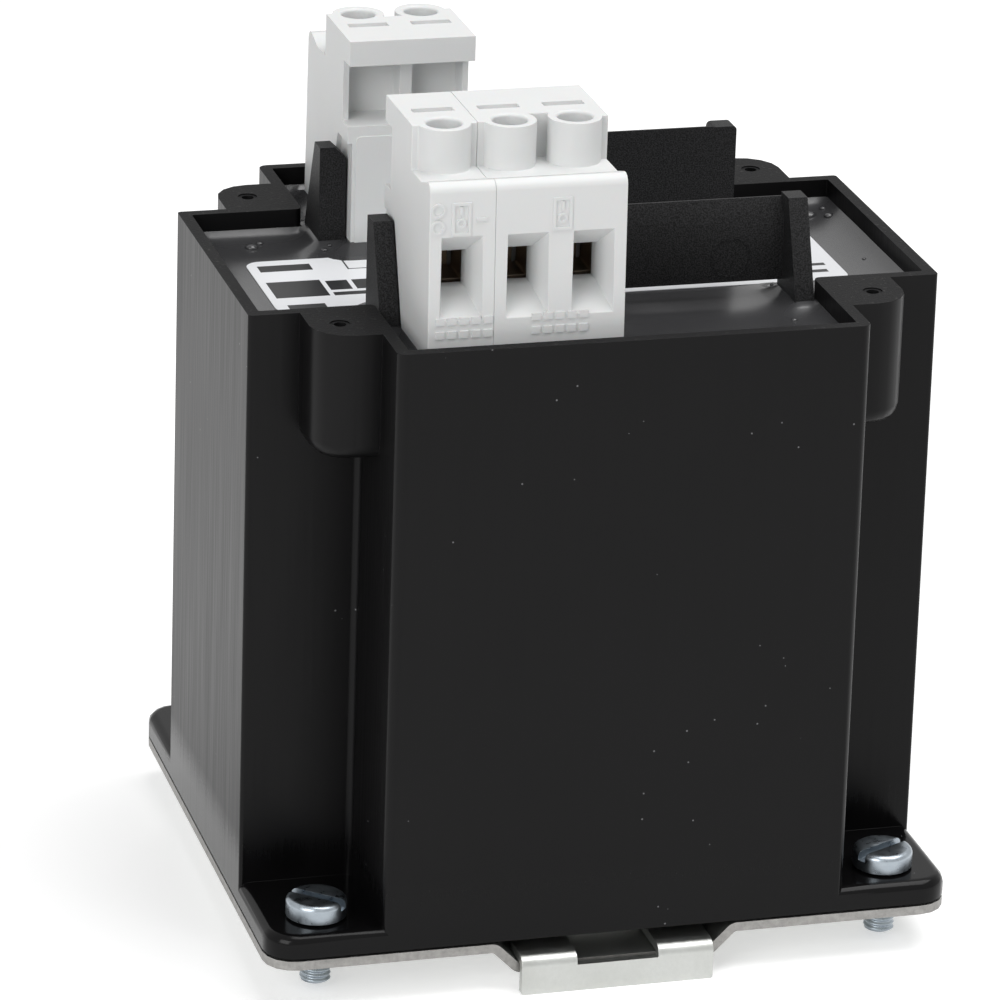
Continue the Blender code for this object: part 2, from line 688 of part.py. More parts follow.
def make_core():
    """The E and I stacks of laminations."""
    half = CORE_WIDTH / 2
    leg = half - CORE_YOKE
    tongue = CORE_TONGUE / 2
    stack = (-CORE_STACK / 2, CORE_STACK / 2)
    outline = rounded([
        (-half, CORE_BASE), (half, CORE_BASE), (half, WINDOW_HIGH), (leg, WINDOW_HIGH),
        (leg, WINDOW_LOW), (tongue, WINDOW_LOW), (tongue, WINDOW_HIGH), (-tongue, WINDOW_HIGH),
        (-tongue, WINDOW_LOW), (-leg, WINDOW_LOW), (-leg, WINDOW_HIGH), (-half, WINDOW_HIGH),
    ])
    dress(extruded("e_core", [outline], *stack, "Y"), "core_steel")
    dress(box("i_core", (-half, half), stack, (WINDOW_HIGH + GAP, CORE_TOP)), "core_steel")


def former_tube():
    """Half sizes of the coil former's tube: inner x, inner y, outer x, outer y."""
    inner_x = CORE_TONGUE / 2 + FORMER_SLACK
    inner_y = CORE_STACK / 2 + FORMER_SLACK
    return inner_x, inner_y, inner_x + FORMER_WALL, inner_y + FORMER_WALL


def former_levels():
    """Heights of the coil former's lower, middle and upper flange."""
    low = WINDOW_LOW + GAP
    high = WINDOW_HIGH - GAP - FORMER_FLANGE
    middle = low + (high - low) * PRIMARY_SHARE
    return low, middle, high


def holder_foot():
    """Height at which the terminal holders grow out of the coil former's upper flange."""
    return former_levels()[2] + FORMER_FLANGE / 2


def fins(end):
    """The left and right side of each fin at one end of the transformer, left fin first."""
    return [(left, right) for fin_end, left, right in FINS if fin_end == end]


def fin_top(end):
    """Height of the fins at one end."""
    return RIM + BAR_OVER_RIM[end] + FIN_OVER_BAR


def holder_profile(end, top, tip):
    """Section of a fin or post of a terminal holder: y first, towards the given end."""
    step = CORE_TOP + GAP
    foot = holder_foot()
    clear = CORE_STACK / 2 + GAP
    corners = [
        (FIN_BACK, top), (tip, top), (FIN_ROOT, step - STRIP_FOOT_OVER_CORE), (FIN_ROOT, foot),
        (clear, foot), (clear, step), (FIN_BACK, step),
    ]
    return rounded([(end * y, z) for y, z in corners])


def bar_profile(end):
    """Section of the cross bar between a holder's fins: y first."""
    top = RIM + BAR_OVER_RIM[end]
    bottom = RIM - BAR_BELOW_RIM
    front = FIN_BACK + BAR_THICKNESS
    corners = [
        (FIN_BACK, top), (front - BAR_SLOPE, top), (front, top - BAR_UPPER_FACE), (front, bottom),
        (FIN_BACK, bottom),
    ]
    return rounded([(end * y, z) for y, z in corners])


def strip_layout():
    """Each terminal strip: name, end of the transformer, left edge and number of poles."""
    single_right = STRIP_FRONT_LEFT + POLE_PITCH
    return (
        ("terminal_strip_front_single", -1, STRIP_FRONT_LEFT, 1),
        ("terminal_strip_front_double", -1, single_right, 2),
        ("terminal_strip_rear_double", 1, STRIP_BACK_LEFT, 2),
    )


def strip_banks():
    """The strips at each end of the transformer: end, left edge and right edge."""
    banks = []
    for end in (-1, 1):
        strips = [strip for strip in strip_layout() if strip[1] == end]
        left = min(strip[2] for strip in strips)
        banks.append((end, left, left + POLE_PITCH * sum(strip[3] for strip in strips)))
    return banks


def poles():
    """Each pole's x and its end of the transformer, front left to right, then rear."""
    places = []
    for _, end, left, count in strip_layout():
        places += [(left + POLE_PITCH * (index + 0.5), end) for index in range(count)]
    return places


def lead_points(x, end):
    """Route of a lead from its winding up to the lug of its terminal."""
    low, middle, high = former_levels()
    lug_y = STRIP_REAR + CHAMBER_REAR + GAP + LUG / 2
    lug_z = STRIP_FOOT + LUG_FOOT - GAP
    beside = WINDING_REACH + GAP + LEAD_RADIUS
    start = (low + middle) / 2 if end < 0 else (middle + high) / 2
    route = rounded([
        (end * beside, start), (end * beside, high + FORMER_FLANGE + LEAD_LIFT, LEAD_BEND),
        (end * lug_y, STRIP_FOOT - LEAD_LIFT, LEAD_BEND), (end * lug_y, lug_z),
    ], closed=False)
    return [(x, y, z) for y, z in route]


def cut_leads(item, clearance):
    """Clears the way of each lead through an object."""
    for x, end in poles():
        cut(item, tube("lead_way", lead_points(x, end), LEAD_RADIUS + clearance, resolution=1))


def make_former():
    """The coil former: tube, three flanges and the two terminal holders."""
    inner_x, inner_y, outer_x, outer_y = former_tube()
    low, middle, high = former_levels()
    top = high + FORMER_FLANGE
    ends = (low + FORMER_FLANGE / 2, top - FORMER_FLANGE / 2)
    former = box("coil_former", (-outer_x, outer_x), (-outer_y, outer_y), ends)
    for level in (low, middle, high):
        outline = rectangle(-FORMER_SIDE, FORMER_SIDE, -FORMER_REACH, FORMER_REACH, FORMER_FLANGE)
        join(former, extruded("former_flange", [outline], level, level + FORMER_FLANGE))
    for end, left, right in FINS:
        join(former, extruded("fin", [holder_profile(end, fin_top(end), FIN_TIP)], left, right, "X"))
    for end, _, right in strip_banks():
        post_x = right + GAP
        post_side = holder_profile(end, RIM + BAR_OVER_RIM[end], FIN_BACK + BAR_THICKNESS / 2)
        join(former, extruded("post", [post_side], post_x, post_x + POST, "X"))
        bar_end = sum(fins(end)[1]) / 2
        join(former, extruded("cross_bar", [bar_profile(end)], post_x + POST / 2, bar_end, "X"))
    through = (low - OVERCUT, top + OVERCUT)
    cut(former, box("tongue_way", (-inner_x, inner_x), (-inner_y, inner_y), through))
    cut_leads(former, GAP)
    dress(settle(former), "former_plastic")


def make_winding(name, low, high):
    """One winding on the coil former, between two of its flanges."""
    _, _, tube_x, tube_y = former_tube()
    outer = rectangle(-WINDING_SIDE, WINDING_SIDE, -WINDING_REACH, WINDING_REACH, WINDING_CORNER)
    inner = rectangle(-tube_x - GAP, tube_x + GAP, -tube_y - GAP, tube_y + GAP, ARM_EDGE)
    dress(extruded(name, [outer, inner], low + GAP, high - GAP), "copper", SOFT_EDGE)


def make_resin():
    """The resin that fills the cup round the core, the winding and the holders' feet."""
    resin = cross_block("potting_resin", SKIN + GAP, CUP_INSIDE + GAP, RESIN_TOP)
    stack = CORE_STACK / 2 + GAP
    core_y = (-stack, stack)
    cut(resin, box("core_space", (-ARM_X, ARM_X), core_y, (CUP_BASE, CORE_TOP + GAP)))
    side = FORMER_SIDE + GAP
    reach = FORMER_REACH + GAP
    cut(resin, box("coil_space", (-side, side), (-reach, reach), (WINDOW_LOW, WINDOW_HIGH)))
    for end in (-1, 1):
        (left_outer, left_inner), (right_inner, right_outer) = fins(end)
        cut(resin, holder_space(end, left_outer - 2 * GAP, left_inner + GAP))
        cut(resin, holder_space(end, right_inner - GAP, right_outer + 2 * GAP))
    for end, _, right in strip_banks():
        cut(resin, holder_space(end, right, right + POST + 2 * GAP))
    near = STRIP_REAR + STRIP_BACK_INSET - GAP
    far = STRIP_REAR + STRIP_DEPTH + GAP
    for end, left, right in strip_banks():
        across = (left - GAP, right + GAP)
        above = (STRIP_FOOT - GAP, RESIN_TOP + OVERCUT)
        cut(resin, box("strip_space", across, sorted((end * near, end * far)), above))
    cut_leads(resin, GAP)
    dress(settle(resin), "resin")


def holder_space(end, low, high):
    """Room for the foot of a fin or post in the resin."""
    y = sorted((end * (FIN_BACK - GAP), end * (FIN_ROOT + GAP)))
    return box("holder_space", (low, high), y, (holder_foot() - GAP, RESIN_TOP + OVERCUT))


def strip_profile():
    """Side view of a terminal strip: depth from the rear rim, then height over the foot."""
    inset = STRIP_BACK_INSET
    return rounded([
        (inset, 0), (STRIP_DEPTH, 0), (STRIP_BROW, STRIP_BROW_HEIGHT, STRIP_EDGE),
        (SHOULDER_FLAT, STRIP_SHOULDER), (STRIP_NECK, STRIP_SHOULDER), (STRIP_NECK, STRIP_HEIGHT),
        (0, STRIP_HEIGHT), (0, RIM_BOTTOM), (RECESS_INSET, RIM_BOTTOM), (RECESS_INSET, RECESS_BOTTOM),
        (inset, RECESS_BOTTOM),
    ])


def funnel(x):
    """The wire entry of one pole, which narrows from the front face to the throat."""
    mouth = STRIP_DEPTH + OVERCUT
    half_span = (-THROAT_HALF, THROAT_HALF)
    shape = box("funnel", half_span, (THROAT_DEPTH, mouth), half_span)
    spread = (mouth - THROAT_DEPTH) / (STRIP_FACE - THROAT_DEPTH)
    for vertex in shape.data.vertices:
        share = spread if vertex.co.y > THROAT_DEPTH + MERGE else 0
        half = THROAT_HALF + (FUNNEL_HALF - THROAT_HALF) * share
        low = THROAT_LOW + (FUNNEL_LOW - THROAT_LOW) * share
        high = THROAT_HIGH + (FUNNEL_HIGH - THROAT_HIGH) * share
        vertex.co.x = x + (half if vertex.co.x > 0 else -half)
        vertex.co.z = high if vertex.co.z > 0 else low
    return shape


def pole_cuts(strip, x):
    """Opens one pole: screw hole, clamp chamber, wire entry, rear recess and marker slot."""
    top = STRIP_HEIGHT + OVERCUT
    neck = (CHAMBER_TOP - OVERCUT, TOWER_HOLE_BOTTOM + OVERCUT)
    cut(strip, cylinder("screw_hole", x, TOWER_DEPTH, TOWER_HOLE, TOWER_HOLE_BOTTOM, top))
    cut(strip, cylinder("neck_hole", x, TOWER_DEPTH, NECK_HOLE, *neck))
    across = (x - CHAMBER_HALF, x + CHAMBER_HALF)
    cut(strip, box("chamber", across, (CHAMBER_REAR, CHAMBER_FRONT), (-OVERCUT, CHAMBER_TOP)))
    cut(strip, funnel(x))
    across = (x - THROAT_HALF, x + THROAT_HALF)
    along = (CHAMBER_FRONT - GAP, THROAT_DEPTH + GAP)
    cut(strip, box("throat", across, along, (THROAT_LOW, THROAT_HIGH)))
    half = POLE_PITCH / 2 - RECESS_SIDE
    along = (-OVERCUT, RECESS_DEPTH)
    cut(strip, box("recess", (x - half, x + half), along, (RECESS_BOTTOM, RIM_BOTTOM)))
    slot_x = (x - LABEL_SLOT_HALF, x + LABEL_SLOT_HALF)
    slot_y = (LABEL_SLOT_DEPTH - LABEL_SLOT_WIDTH / 2, LABEL_SLOT_DEPTH + LABEL_SLOT_WIDTH / 2)
    cut(strip, box("marker_slot", slot_x, slot_y, (STRIP_HEIGHT - LABEL_SLOT_SINK, top)))


def strip_mesh(count):
    """A terminal strip's insulator, centred on x, before the holder's fins are cleared."""
    half = count * POLE_PITCH / 2 - SEAM
    strip = extruded("strip", [strip_profile()], -half, half, "X")
    middles = [(index - (count - 1) / 2) * POLE_PITCH for index in range(count)]
    along = (TOWER_SLOT_REAR, STRIP_NECK + OVERCUT)
    for x in middles[1:]:
        between = x - POLE_PITCH / 2
        across = (between - TOWER_SLOT_HALF, between + TOWER_SLOT_HALF)
        cut(strip, box("tower_slot", across, along, (STRIP_SHOULDER, STRIP_HEIGHT + OVERCUT)))
    for x in middles:
        low = STRIP_SHOULDER - STRIP_EDGE
        join(strip, cylinder("tower", x, TOWER_DEPTH, TOWER_RADIUS, low, STRIP_HEIGHT))
    for x in middles:
        pole_cuts(strip, x)
    return frozen(strip)


def fin_notch(end):
    """Room in a terminal strip's left end for the fin beside it."""
    left, right = fins(end)[0]
    through = FIN_BACK - STRIP_REAR + OVERCUT
    shape = holder_profile(end, fin_top(end) + GAP, FIN_TIP + GAP)
    grown = [(y + end * GAP if abs(y) > FIN_BACK + GAP else y - end * through, z) for y, z in shape]
    return extruded("fin_notch", [grown], left - OVERCUT, right + GAP, "X")


def make_strips():
    """The three terminal strips, two poles or one each."""
    meshes = {count: strip_mesh(count) for count in (1, 2)}
    for name, end, left, count in strip_layout():
        strip = place(name, meshes[count].copy(), PARTS)
        strip.location = (left + count * POLE_PITCH / 2, end * STRIP_REAR, STRIP_FOOT)
        strip.rotation_euler.z = pi if end < 0 else 0
        cut(strip, fin_notch(end))
        dress(settle(strip), "terminal_plastic", SOFT_EDGE)


def cage_mesh():
    """The clamp cage, which rises as its screw turns: depth first, then height."""
    span = (CAGE_REAR - TOWER_DEPTH, CAGE_FRONT - TOWER_DEPTH)
    outer = rectangle(-CAGE_HALF, CAGE_HALF, CAGE_BOTTOM, CAGE_TOP, CLAMP_EDGE)
    inner_half = CAGE_HALF - CAGE_SIDE
    inner = rectangle(-inner_half, inner_half, CAGE_BOTTOM + CAGE_FLOOR, CAGE_ROOF_LOW, CLAMP_EDGE)
    cage = extruded("cage", [outer, inner], *span, "Y")
    cut(cage, cylinder("cage_hole", 0, 0, CLAMP_SHANK + GAP, CAGE_ROOF_LOW - GAP, CAGE_TOP + OVERCUT))
    return frozen(cage)


def current_bar_mesh():
    """The current bar over the wire space, with its lug down the rear of the chamber."""
    rear = CHAMBER_REAR + GAP - TOWER_DEPTH
    front = CHAMBER_FRONT - GAP - TOWER_DEPTH
    top = BAR_UNDERSIDE + CURRENT_BAR
    outline = rounded([
        (rear, LUG_FOOT), (rear + LUG, LUG_FOOT), (rear + LUG, BAR_UNDERSIDE), (front, BAR_UNDERSIDE),
        (front, top), (rear, top, LUG),
    ])
    return frozen(extruded("bar", [outline], -CURRENT_BAR_HALF, CURRENT_BAR_HALF, "X"))


def make_clamps():
    """Screw, cage, current bar and lead of each pole."""
    head_seat = TOWER_HOLE_BOTTOM + GAP
    length = head_seat - BAR_UNDERSIDE - CURRENT_BAR - GAP
    head = (CLAMP_HEAD, CLAMP_HEAD_HEIGHT, CLAMP_EDGE)
    slot = (CLAMP_SLOT, CLAMP_SLOT_DEPTH)
    meshes = {
        "clamp_screw": slotted_screw("clamp_screw", CLAMP_SHANK, head, slot, length),
        "clamp_cage": cage_mesh(),
        "current_bar": current_bar_mesh(),
    }
    lifts = {"clamp_screw": head_seat, "clamp_cage": 0, "current_bar": 0}
    finishes = {"clamp_screw": "zinc_steel", "clamp_cage": "brass", "current_bar": "brass"}
    for number, (x, end) in enumerate(poles(), 1):
        for kind, mesh in meshes.items():
            piece = place(f"{kind}_{number}", mesh, PARTS)
            piece.location = (x, end * (STRIP_REAR + TOWER_DEPTH), STRIP_FOOT + lifts[kind])
            piece.rotation_euler.z = pi if end < 0 else 0
            dress(piece, finishes[kind], SOFT_EDGE)
        dress(tube(f"lead_wire_{number}", lead_points(x, end), LEAD_RADIUS), "copper", SOFT_WIRE)


def main():
    """Builds the transformer."""
    low, middle, high = former_levels()
    make_cup()
    make_foot()
    make_latch()
    make_spring()
    make_flange_screws()
    make_core()
    make_former()
    make_winding("primary_winding", low + FORMER_FLANGE, middle)
    make_winding("secondary_winding", middle + FORMER_FLANGE, high)
    make_resin()
    make_strips()
    make_clamps()


main()
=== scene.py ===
"""Looks of a potted safety isolating transformer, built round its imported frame.

Metres, +Z up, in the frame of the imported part. The front, with the latch tab, faces -Y.
"""
import json
from math import cos, exp, hypot, pi, radians, sin

import bmesh
import bpy
from mathutils import Matrix, Vector, noise


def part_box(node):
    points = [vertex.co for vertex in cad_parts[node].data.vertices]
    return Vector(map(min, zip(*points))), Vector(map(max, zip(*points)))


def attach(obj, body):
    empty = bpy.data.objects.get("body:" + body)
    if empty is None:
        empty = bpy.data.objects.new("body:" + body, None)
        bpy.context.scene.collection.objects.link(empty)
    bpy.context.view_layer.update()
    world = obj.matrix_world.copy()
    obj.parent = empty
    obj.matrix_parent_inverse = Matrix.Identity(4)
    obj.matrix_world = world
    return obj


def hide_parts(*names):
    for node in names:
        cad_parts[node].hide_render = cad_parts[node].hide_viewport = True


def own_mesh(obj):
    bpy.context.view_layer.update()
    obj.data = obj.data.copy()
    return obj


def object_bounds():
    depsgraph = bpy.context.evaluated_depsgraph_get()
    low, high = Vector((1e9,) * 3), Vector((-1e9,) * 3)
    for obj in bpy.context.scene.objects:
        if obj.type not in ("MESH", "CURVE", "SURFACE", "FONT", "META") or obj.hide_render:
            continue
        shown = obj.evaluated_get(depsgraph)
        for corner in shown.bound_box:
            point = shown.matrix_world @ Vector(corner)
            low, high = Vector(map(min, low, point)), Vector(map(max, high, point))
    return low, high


MM = 0.001

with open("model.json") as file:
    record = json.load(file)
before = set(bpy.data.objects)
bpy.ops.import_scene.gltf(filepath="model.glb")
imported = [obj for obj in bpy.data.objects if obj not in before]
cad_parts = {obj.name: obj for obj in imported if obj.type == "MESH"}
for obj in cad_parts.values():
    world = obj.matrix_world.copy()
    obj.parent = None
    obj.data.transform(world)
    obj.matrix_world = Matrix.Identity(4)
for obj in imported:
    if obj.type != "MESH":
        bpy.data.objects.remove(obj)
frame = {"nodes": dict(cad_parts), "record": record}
NODES = frame["nodes"]
CAD_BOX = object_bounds()
BEHAVIOUR = frame["record"]["behaviour"]
SLOTS = {entry["node"]: entry["material_slot"] for entry in frame["record"]["subparts"]}
BODIES = {node: body for body, nodes in BEHAVIOUR["bodies"].items() for node in nodes}

# Places read from the frame
HOUSING_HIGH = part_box("housing")[1]
RESIN_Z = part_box("potting_resin")[1].z
FLOOR_Z = CAD_BOX[0].z
RIM_Z = HOUSING_HIGH.z
TURNS = [joint for joint in BEHAVIOUR["joints"] if joint["name"].endswith("_turn")]
POLES = [Vector(joint["pos_m"]) for joint in TURNS]
STRIPS = ("front_single", "front_double", "rear_double")

# Inside of the cup, as in the part's source
SKIN = 1.85 * MM          # from the foot's outline to the inner faces
BAY_X = 28.4 * MM
ARM_Y = 19.05 * MM
BAY_Y = HOUSING_HIGH.y - SKIN
ARM_X = HOUSING_HIGH.x - SKIN

# Terminal holders at the height of the resin
FINS = (                  # left side, right side, end of the transformer
    (-28.0 * MM, -25.5 * MM, -1),
    (25.6 * MM, 28.1 * MM, -1),
    (-27.6 * MM, -24.1 * MM, 1),
    (24.9 * MM, 28.1 * MM, 1),
)
POSTS = ((-0.45 * MM, 1.15 * MM, -1), (-7.65 * MM, -6.05 * MM, 1))
HOLDER_BACK = 13.37 * MM
FIN_FRONT = 21.5 * MM
BAR_FACE = 14.97 * MM

# Meshes
WELD = 0.002 * MM
FLAT = radians(0.3)
SHARP = radians(36)
STEPS = 64                # round a turned piece
RING_STEPS = 48
CORNER_STEPS = 6          # in a quarter of a circle
OVERCUT = 1 * MM          # how far a cutter stands out of what it cuts
LOOKS_UP = 0.9            # least height of the normal of a face that looks up
LOOKS_ASIDE = 0.5         # most height of the normal of a face that looks aside

# Round edges: width, segments
CUP_ROUND = (0.28 * MM, 3)
FORMER_ROUND = (0.15 * MM, 2)
FOOT_ROUND = (0.12 * MM, 2)
SLIDE_ROUND = (0.15 * MM, 2)
STRIP_ROUND = (0.14 * MM, 3)
HEAD_ROUND = (0.1 * MM, 2)
CLAMP_ROUND = (0.06 * MM, 2)

# Flange screws
SCREW_TURNS = {"front_left": -41, "front_right": 26, "rear_left": 64, "rear_right": 118}
SCREW_HEAD = 3.85 * MM
SCREW_HEAD_HEIGHT = 2.4 * MM
SCREW_HEAD_EDGE = 0.75 * MM
SCREW_SHANK = 2.0 * MM
SCREW_LENGTH = 3.9 * MM   # of the plain shank
SCREW_SLOT = (1.2 * MM, 1.1 * MM)   # width, depth
THREAD_PITCH = 0.7 * MM
THREAD_DEPTH = 0.36 * MM
THREAD_ROWS = 7           # for each pitch
THREAD_STEPS = 40         # round the thread
THREAD_TOP = 3.6 * MM     # height over the rail seat
THREAD_POINT = 0.45 * MM  # chamfer of the end

# Clamp screws
CLAMP_HEAD = 2.25 * MM
CLAMP_HEAD_HEIGHT = 1.9 * MM
CLAMP_HEAD_EDGE = 0.35 * MM
CLAMP_SHANK = 1.5 * MM
CLAMP_SLOT = (0.8 * MM, 0.9 * MM)

# Notch of the latch slide
NOTCH_HALF = 5.3 * MM
NOTCH_FRONT = -37.2 * MM
NOTCH_BACK = -29.0 * MM
NOTCH_Z = (1.35 * MM, 3.4 * MM)

# Spring of the latch slide
SPRING_TURNS = 9
SPRING_WIRE = 0.25 * MM
SPRING_STEPS = 24         # per turn
WIRE_SIDES = 10

# Resin surface
RESIN_CELL = 0.75 * MM
RESIN_FILM = 0.1 * MM     # lowest height of the surface over the solid
RESIN_CLIMB = 1.3 * MM    # how far it climbs where it wets a wall
RESIN_REACH = 1.5 * MM
RESIN_RIPPLE = 0.05 * MM
RIPPLE_WAVE = 9 * MM
SKIN_DEPTH = 0.5 * MM     # of the skin's underside in the resin's solid
BUBBLE_STEPS = (20, 12)   # round and up
BUBBLE_FLAT = 0.55        # height of a bubble against its width
BUBBLES = (               # x, y, radius, in millimetres
    (-35.9, 15.3, 0.9), (-34.6, 16.4, 0.5), (-27.8, 22.6, 0.5), (-27.2, 11.8, 0.45), (-26.3, 12.6, 0.35),
    (39.2, 15.4, 1.1), (41.6, 16.6, 0.5), (41.5, 13.7, 0.7), (25.4, -12.6, 0.5), (24.4, -24.4, 0.4),
    (12.0, -29.5, 0.35), (-33.0, -15.8, 0.4), (6.5, 24.5, 0.5), (17.0, 31.0, 0.6), (40.6, -3.5, 0.3),
)

# Label on the resin
LABEL_X = (-38.3 * MM, 36.7 * MM)
LABEL_Y = (-10.2 * MM, 9.5 * MM)
LABEL_CORNER = 2.0 * MM
LABEL_LIFT = 0.12 * MM    # underside over the resin's solid
LABEL_FILM = 0.12 * MM
INK_FILM = 0.02 * MM

# Print on the label, in millimetres: left, right, low, high
PRINT_BARS = (
    (-37.0, -30.2, 5.3, 7.6), (-37.3, -30.4, -4.9, 1.2), (-36.6, -31.8, -9.4, -7.7),
    (-29.8, -27.0, -2.9, 0.6), (-26.4, -23.2, -2.9, 0.6), (-29.8, -24.0, -5.0, -3.8),
    (31.2, 34.6, -7.2, -6.2), (32.2, 35.0, -4.6, -3.7),
)
PRINT_BOX = (-25.8, 24.0, 4.7, 8.2)
PRINT_LINE = 0.2
PRINT_ROWS = 4
PRINT_ROW = (-1.2, -0.4)  # low, high of the first row
PRINT_ROW_STEP = 2.0
PRINT_COLUMNS = (         # left, right, shorter by, after how many rows that repeats
    (-18.0, 9.0, 4.0, 2),
    (14.0, 26.0, 3.0, 3),
)

# Terminal strips
STRIP_TIGHT = 0.04 * MM   # added to each side, to close the seams
MARKER_SLOT = (5.2 * MM, 1.5 * MM, 0.9 * MM)   # across, along, deep
MARKER_DEPTH = 7.1 * MM   # from the rear rim
TOWER_DEPTH = 12.4 * MM
FACE_LEAN = 0.9 / 25.1    # of the front face
COLLAR = (2.9 * MM, 2.15 * MM, 3.0 * MM, 0.4 * MM)   # outer radius, bore, length, round of the mouth
COLLAR_STEPS = 5          # in the round of the mouth
COLLAR_SUNK = 0.005 * MM
GROOVE_DEPTH = 20.7 * MM  # of the fine line behind the brow
GROOVE_HEIGHT = 24.6 * MM # of the shoulder there, over the strip's foot
GROOVE = 0.22 * MM
STRIP_DEPTH = 23.1 * MM

# Raised marks on the strips' fronts, their heights over the strip's foot
MARK_PROUD = 0.16 * MM
MARK_LINE = 0.36 * MM
MARK_BOX = (18.2 * MM, 22.3 * MM)              # low, high
MARK_BOX_HALF = 1.2 * MM
MARK_BOX_LEFT = 3.9 * MM                       # on the single strip, from its left side
MARK_BOX_ASIDE = 0.1 * MM                      # on the double strip, from its middle
MARK_RING = (19.7 * MM, 0.62 * MM, 0.34 * MM)  # in the box: height, outer radius, bore
MARK_STEM = (20.7 * MM, 21.8 * MM)             # in the box: low, high
MARK_PAIR = (1.0 * MM, 0.9 * MM, 0.6 * MM)     # two rings: from the left side, outer radius, bore
MARK_PAIR_HEIGHTS = (21.4 * MM, 19.3 * MM)
MARK_BAR = ((5.8 * MM, 19.9 * MM), (7.1 * MM, 20.3 * MM))   # corners, from the left side
DASHES = 5                                     # in each row
DASH_STEP = 1.5 * MM
DASH_LENGTH = 1.1 * MM
DASH_LEFT = 0.9 * MM                           # on the single strip, from its left side
DASH_BEFORE_BOX = 3.6 * MM                     # on the double strip, from the box's middle
DASH_ROWS = ((7.0 * MM, 7.9 * MM), (5.3 * MM, 6.2 * MM))

# Panel low on each strip, towards the middle
PANEL_EDGE = 1.1 * MM
PANEL_TOP = 16.6 * MM
PANEL_CORNER = 0.6 * MM
PANEL_PROUD = 0.14 * MM
FACE_INSET = 0.3 * MM     # of that face from the strip's rear rim

# Fins of the terminal holders
REAR_FIN_DROP = 0.6 * MM
FIN_CHAMFER = 1.5 * MM
FIN_ROUND = 0.5 * MM
FIN_ROUND_STEPS = 3
FIN_TOP_BAND = 0.2 * MM   # what counts as the top of the rear fins
FIN_END_BAND = 0.1 * MM   # what counts as one end of them
EJECTOR_PLACE = (18.8 * MM, 85.3 * MM)
EJECTOR_RING = (2.65 * MM, 2.4 * MM, 0.09 * MM)   # outer radius, bore, half height

# Cup details
RIM_BAND = 0.1 * MM       # what counts as the top of the cup
BOSS_INSERT = (1.24 * MM, 0.8 * MM, 0.35 * MM)    # outer radius, bore, half height
BOSS_HOLE = (34.2 * MM, 25.3 * MM)
BOSS_TOP = 0.5 * MM       # from the rim down to the middle of the insert

# Room and lamps
FLOOR_SIZE = 6.0
FLOOR_WHITE = 0.82
FLOOR_GLOW = 0.42         # added where the floor is looked at
WORLD_LIGHT = 0.41        # strength of the world as light
LAMPS = (                 # name, place, size, power
    ("overhead", (0.25, -0.08, 0.88), 0.7, 6.3),
    ("front_left", (-0.7, -0.65, 0.5), 0.6, 4.8),
)

# Camera, worked out from the photograph's parallel edges
CAMERA_PLACE = Vector((-194.61, -664.76, 313.96)) * MM
CAMERA_AZIMUTH = radians(15.833)
CAMERA_ELEVATION = radians(20.991)
CAMERA_ROLL = radians(1.802)
CAMERA_LENS = 206.33
CAMERA_SENSOR = 36.0


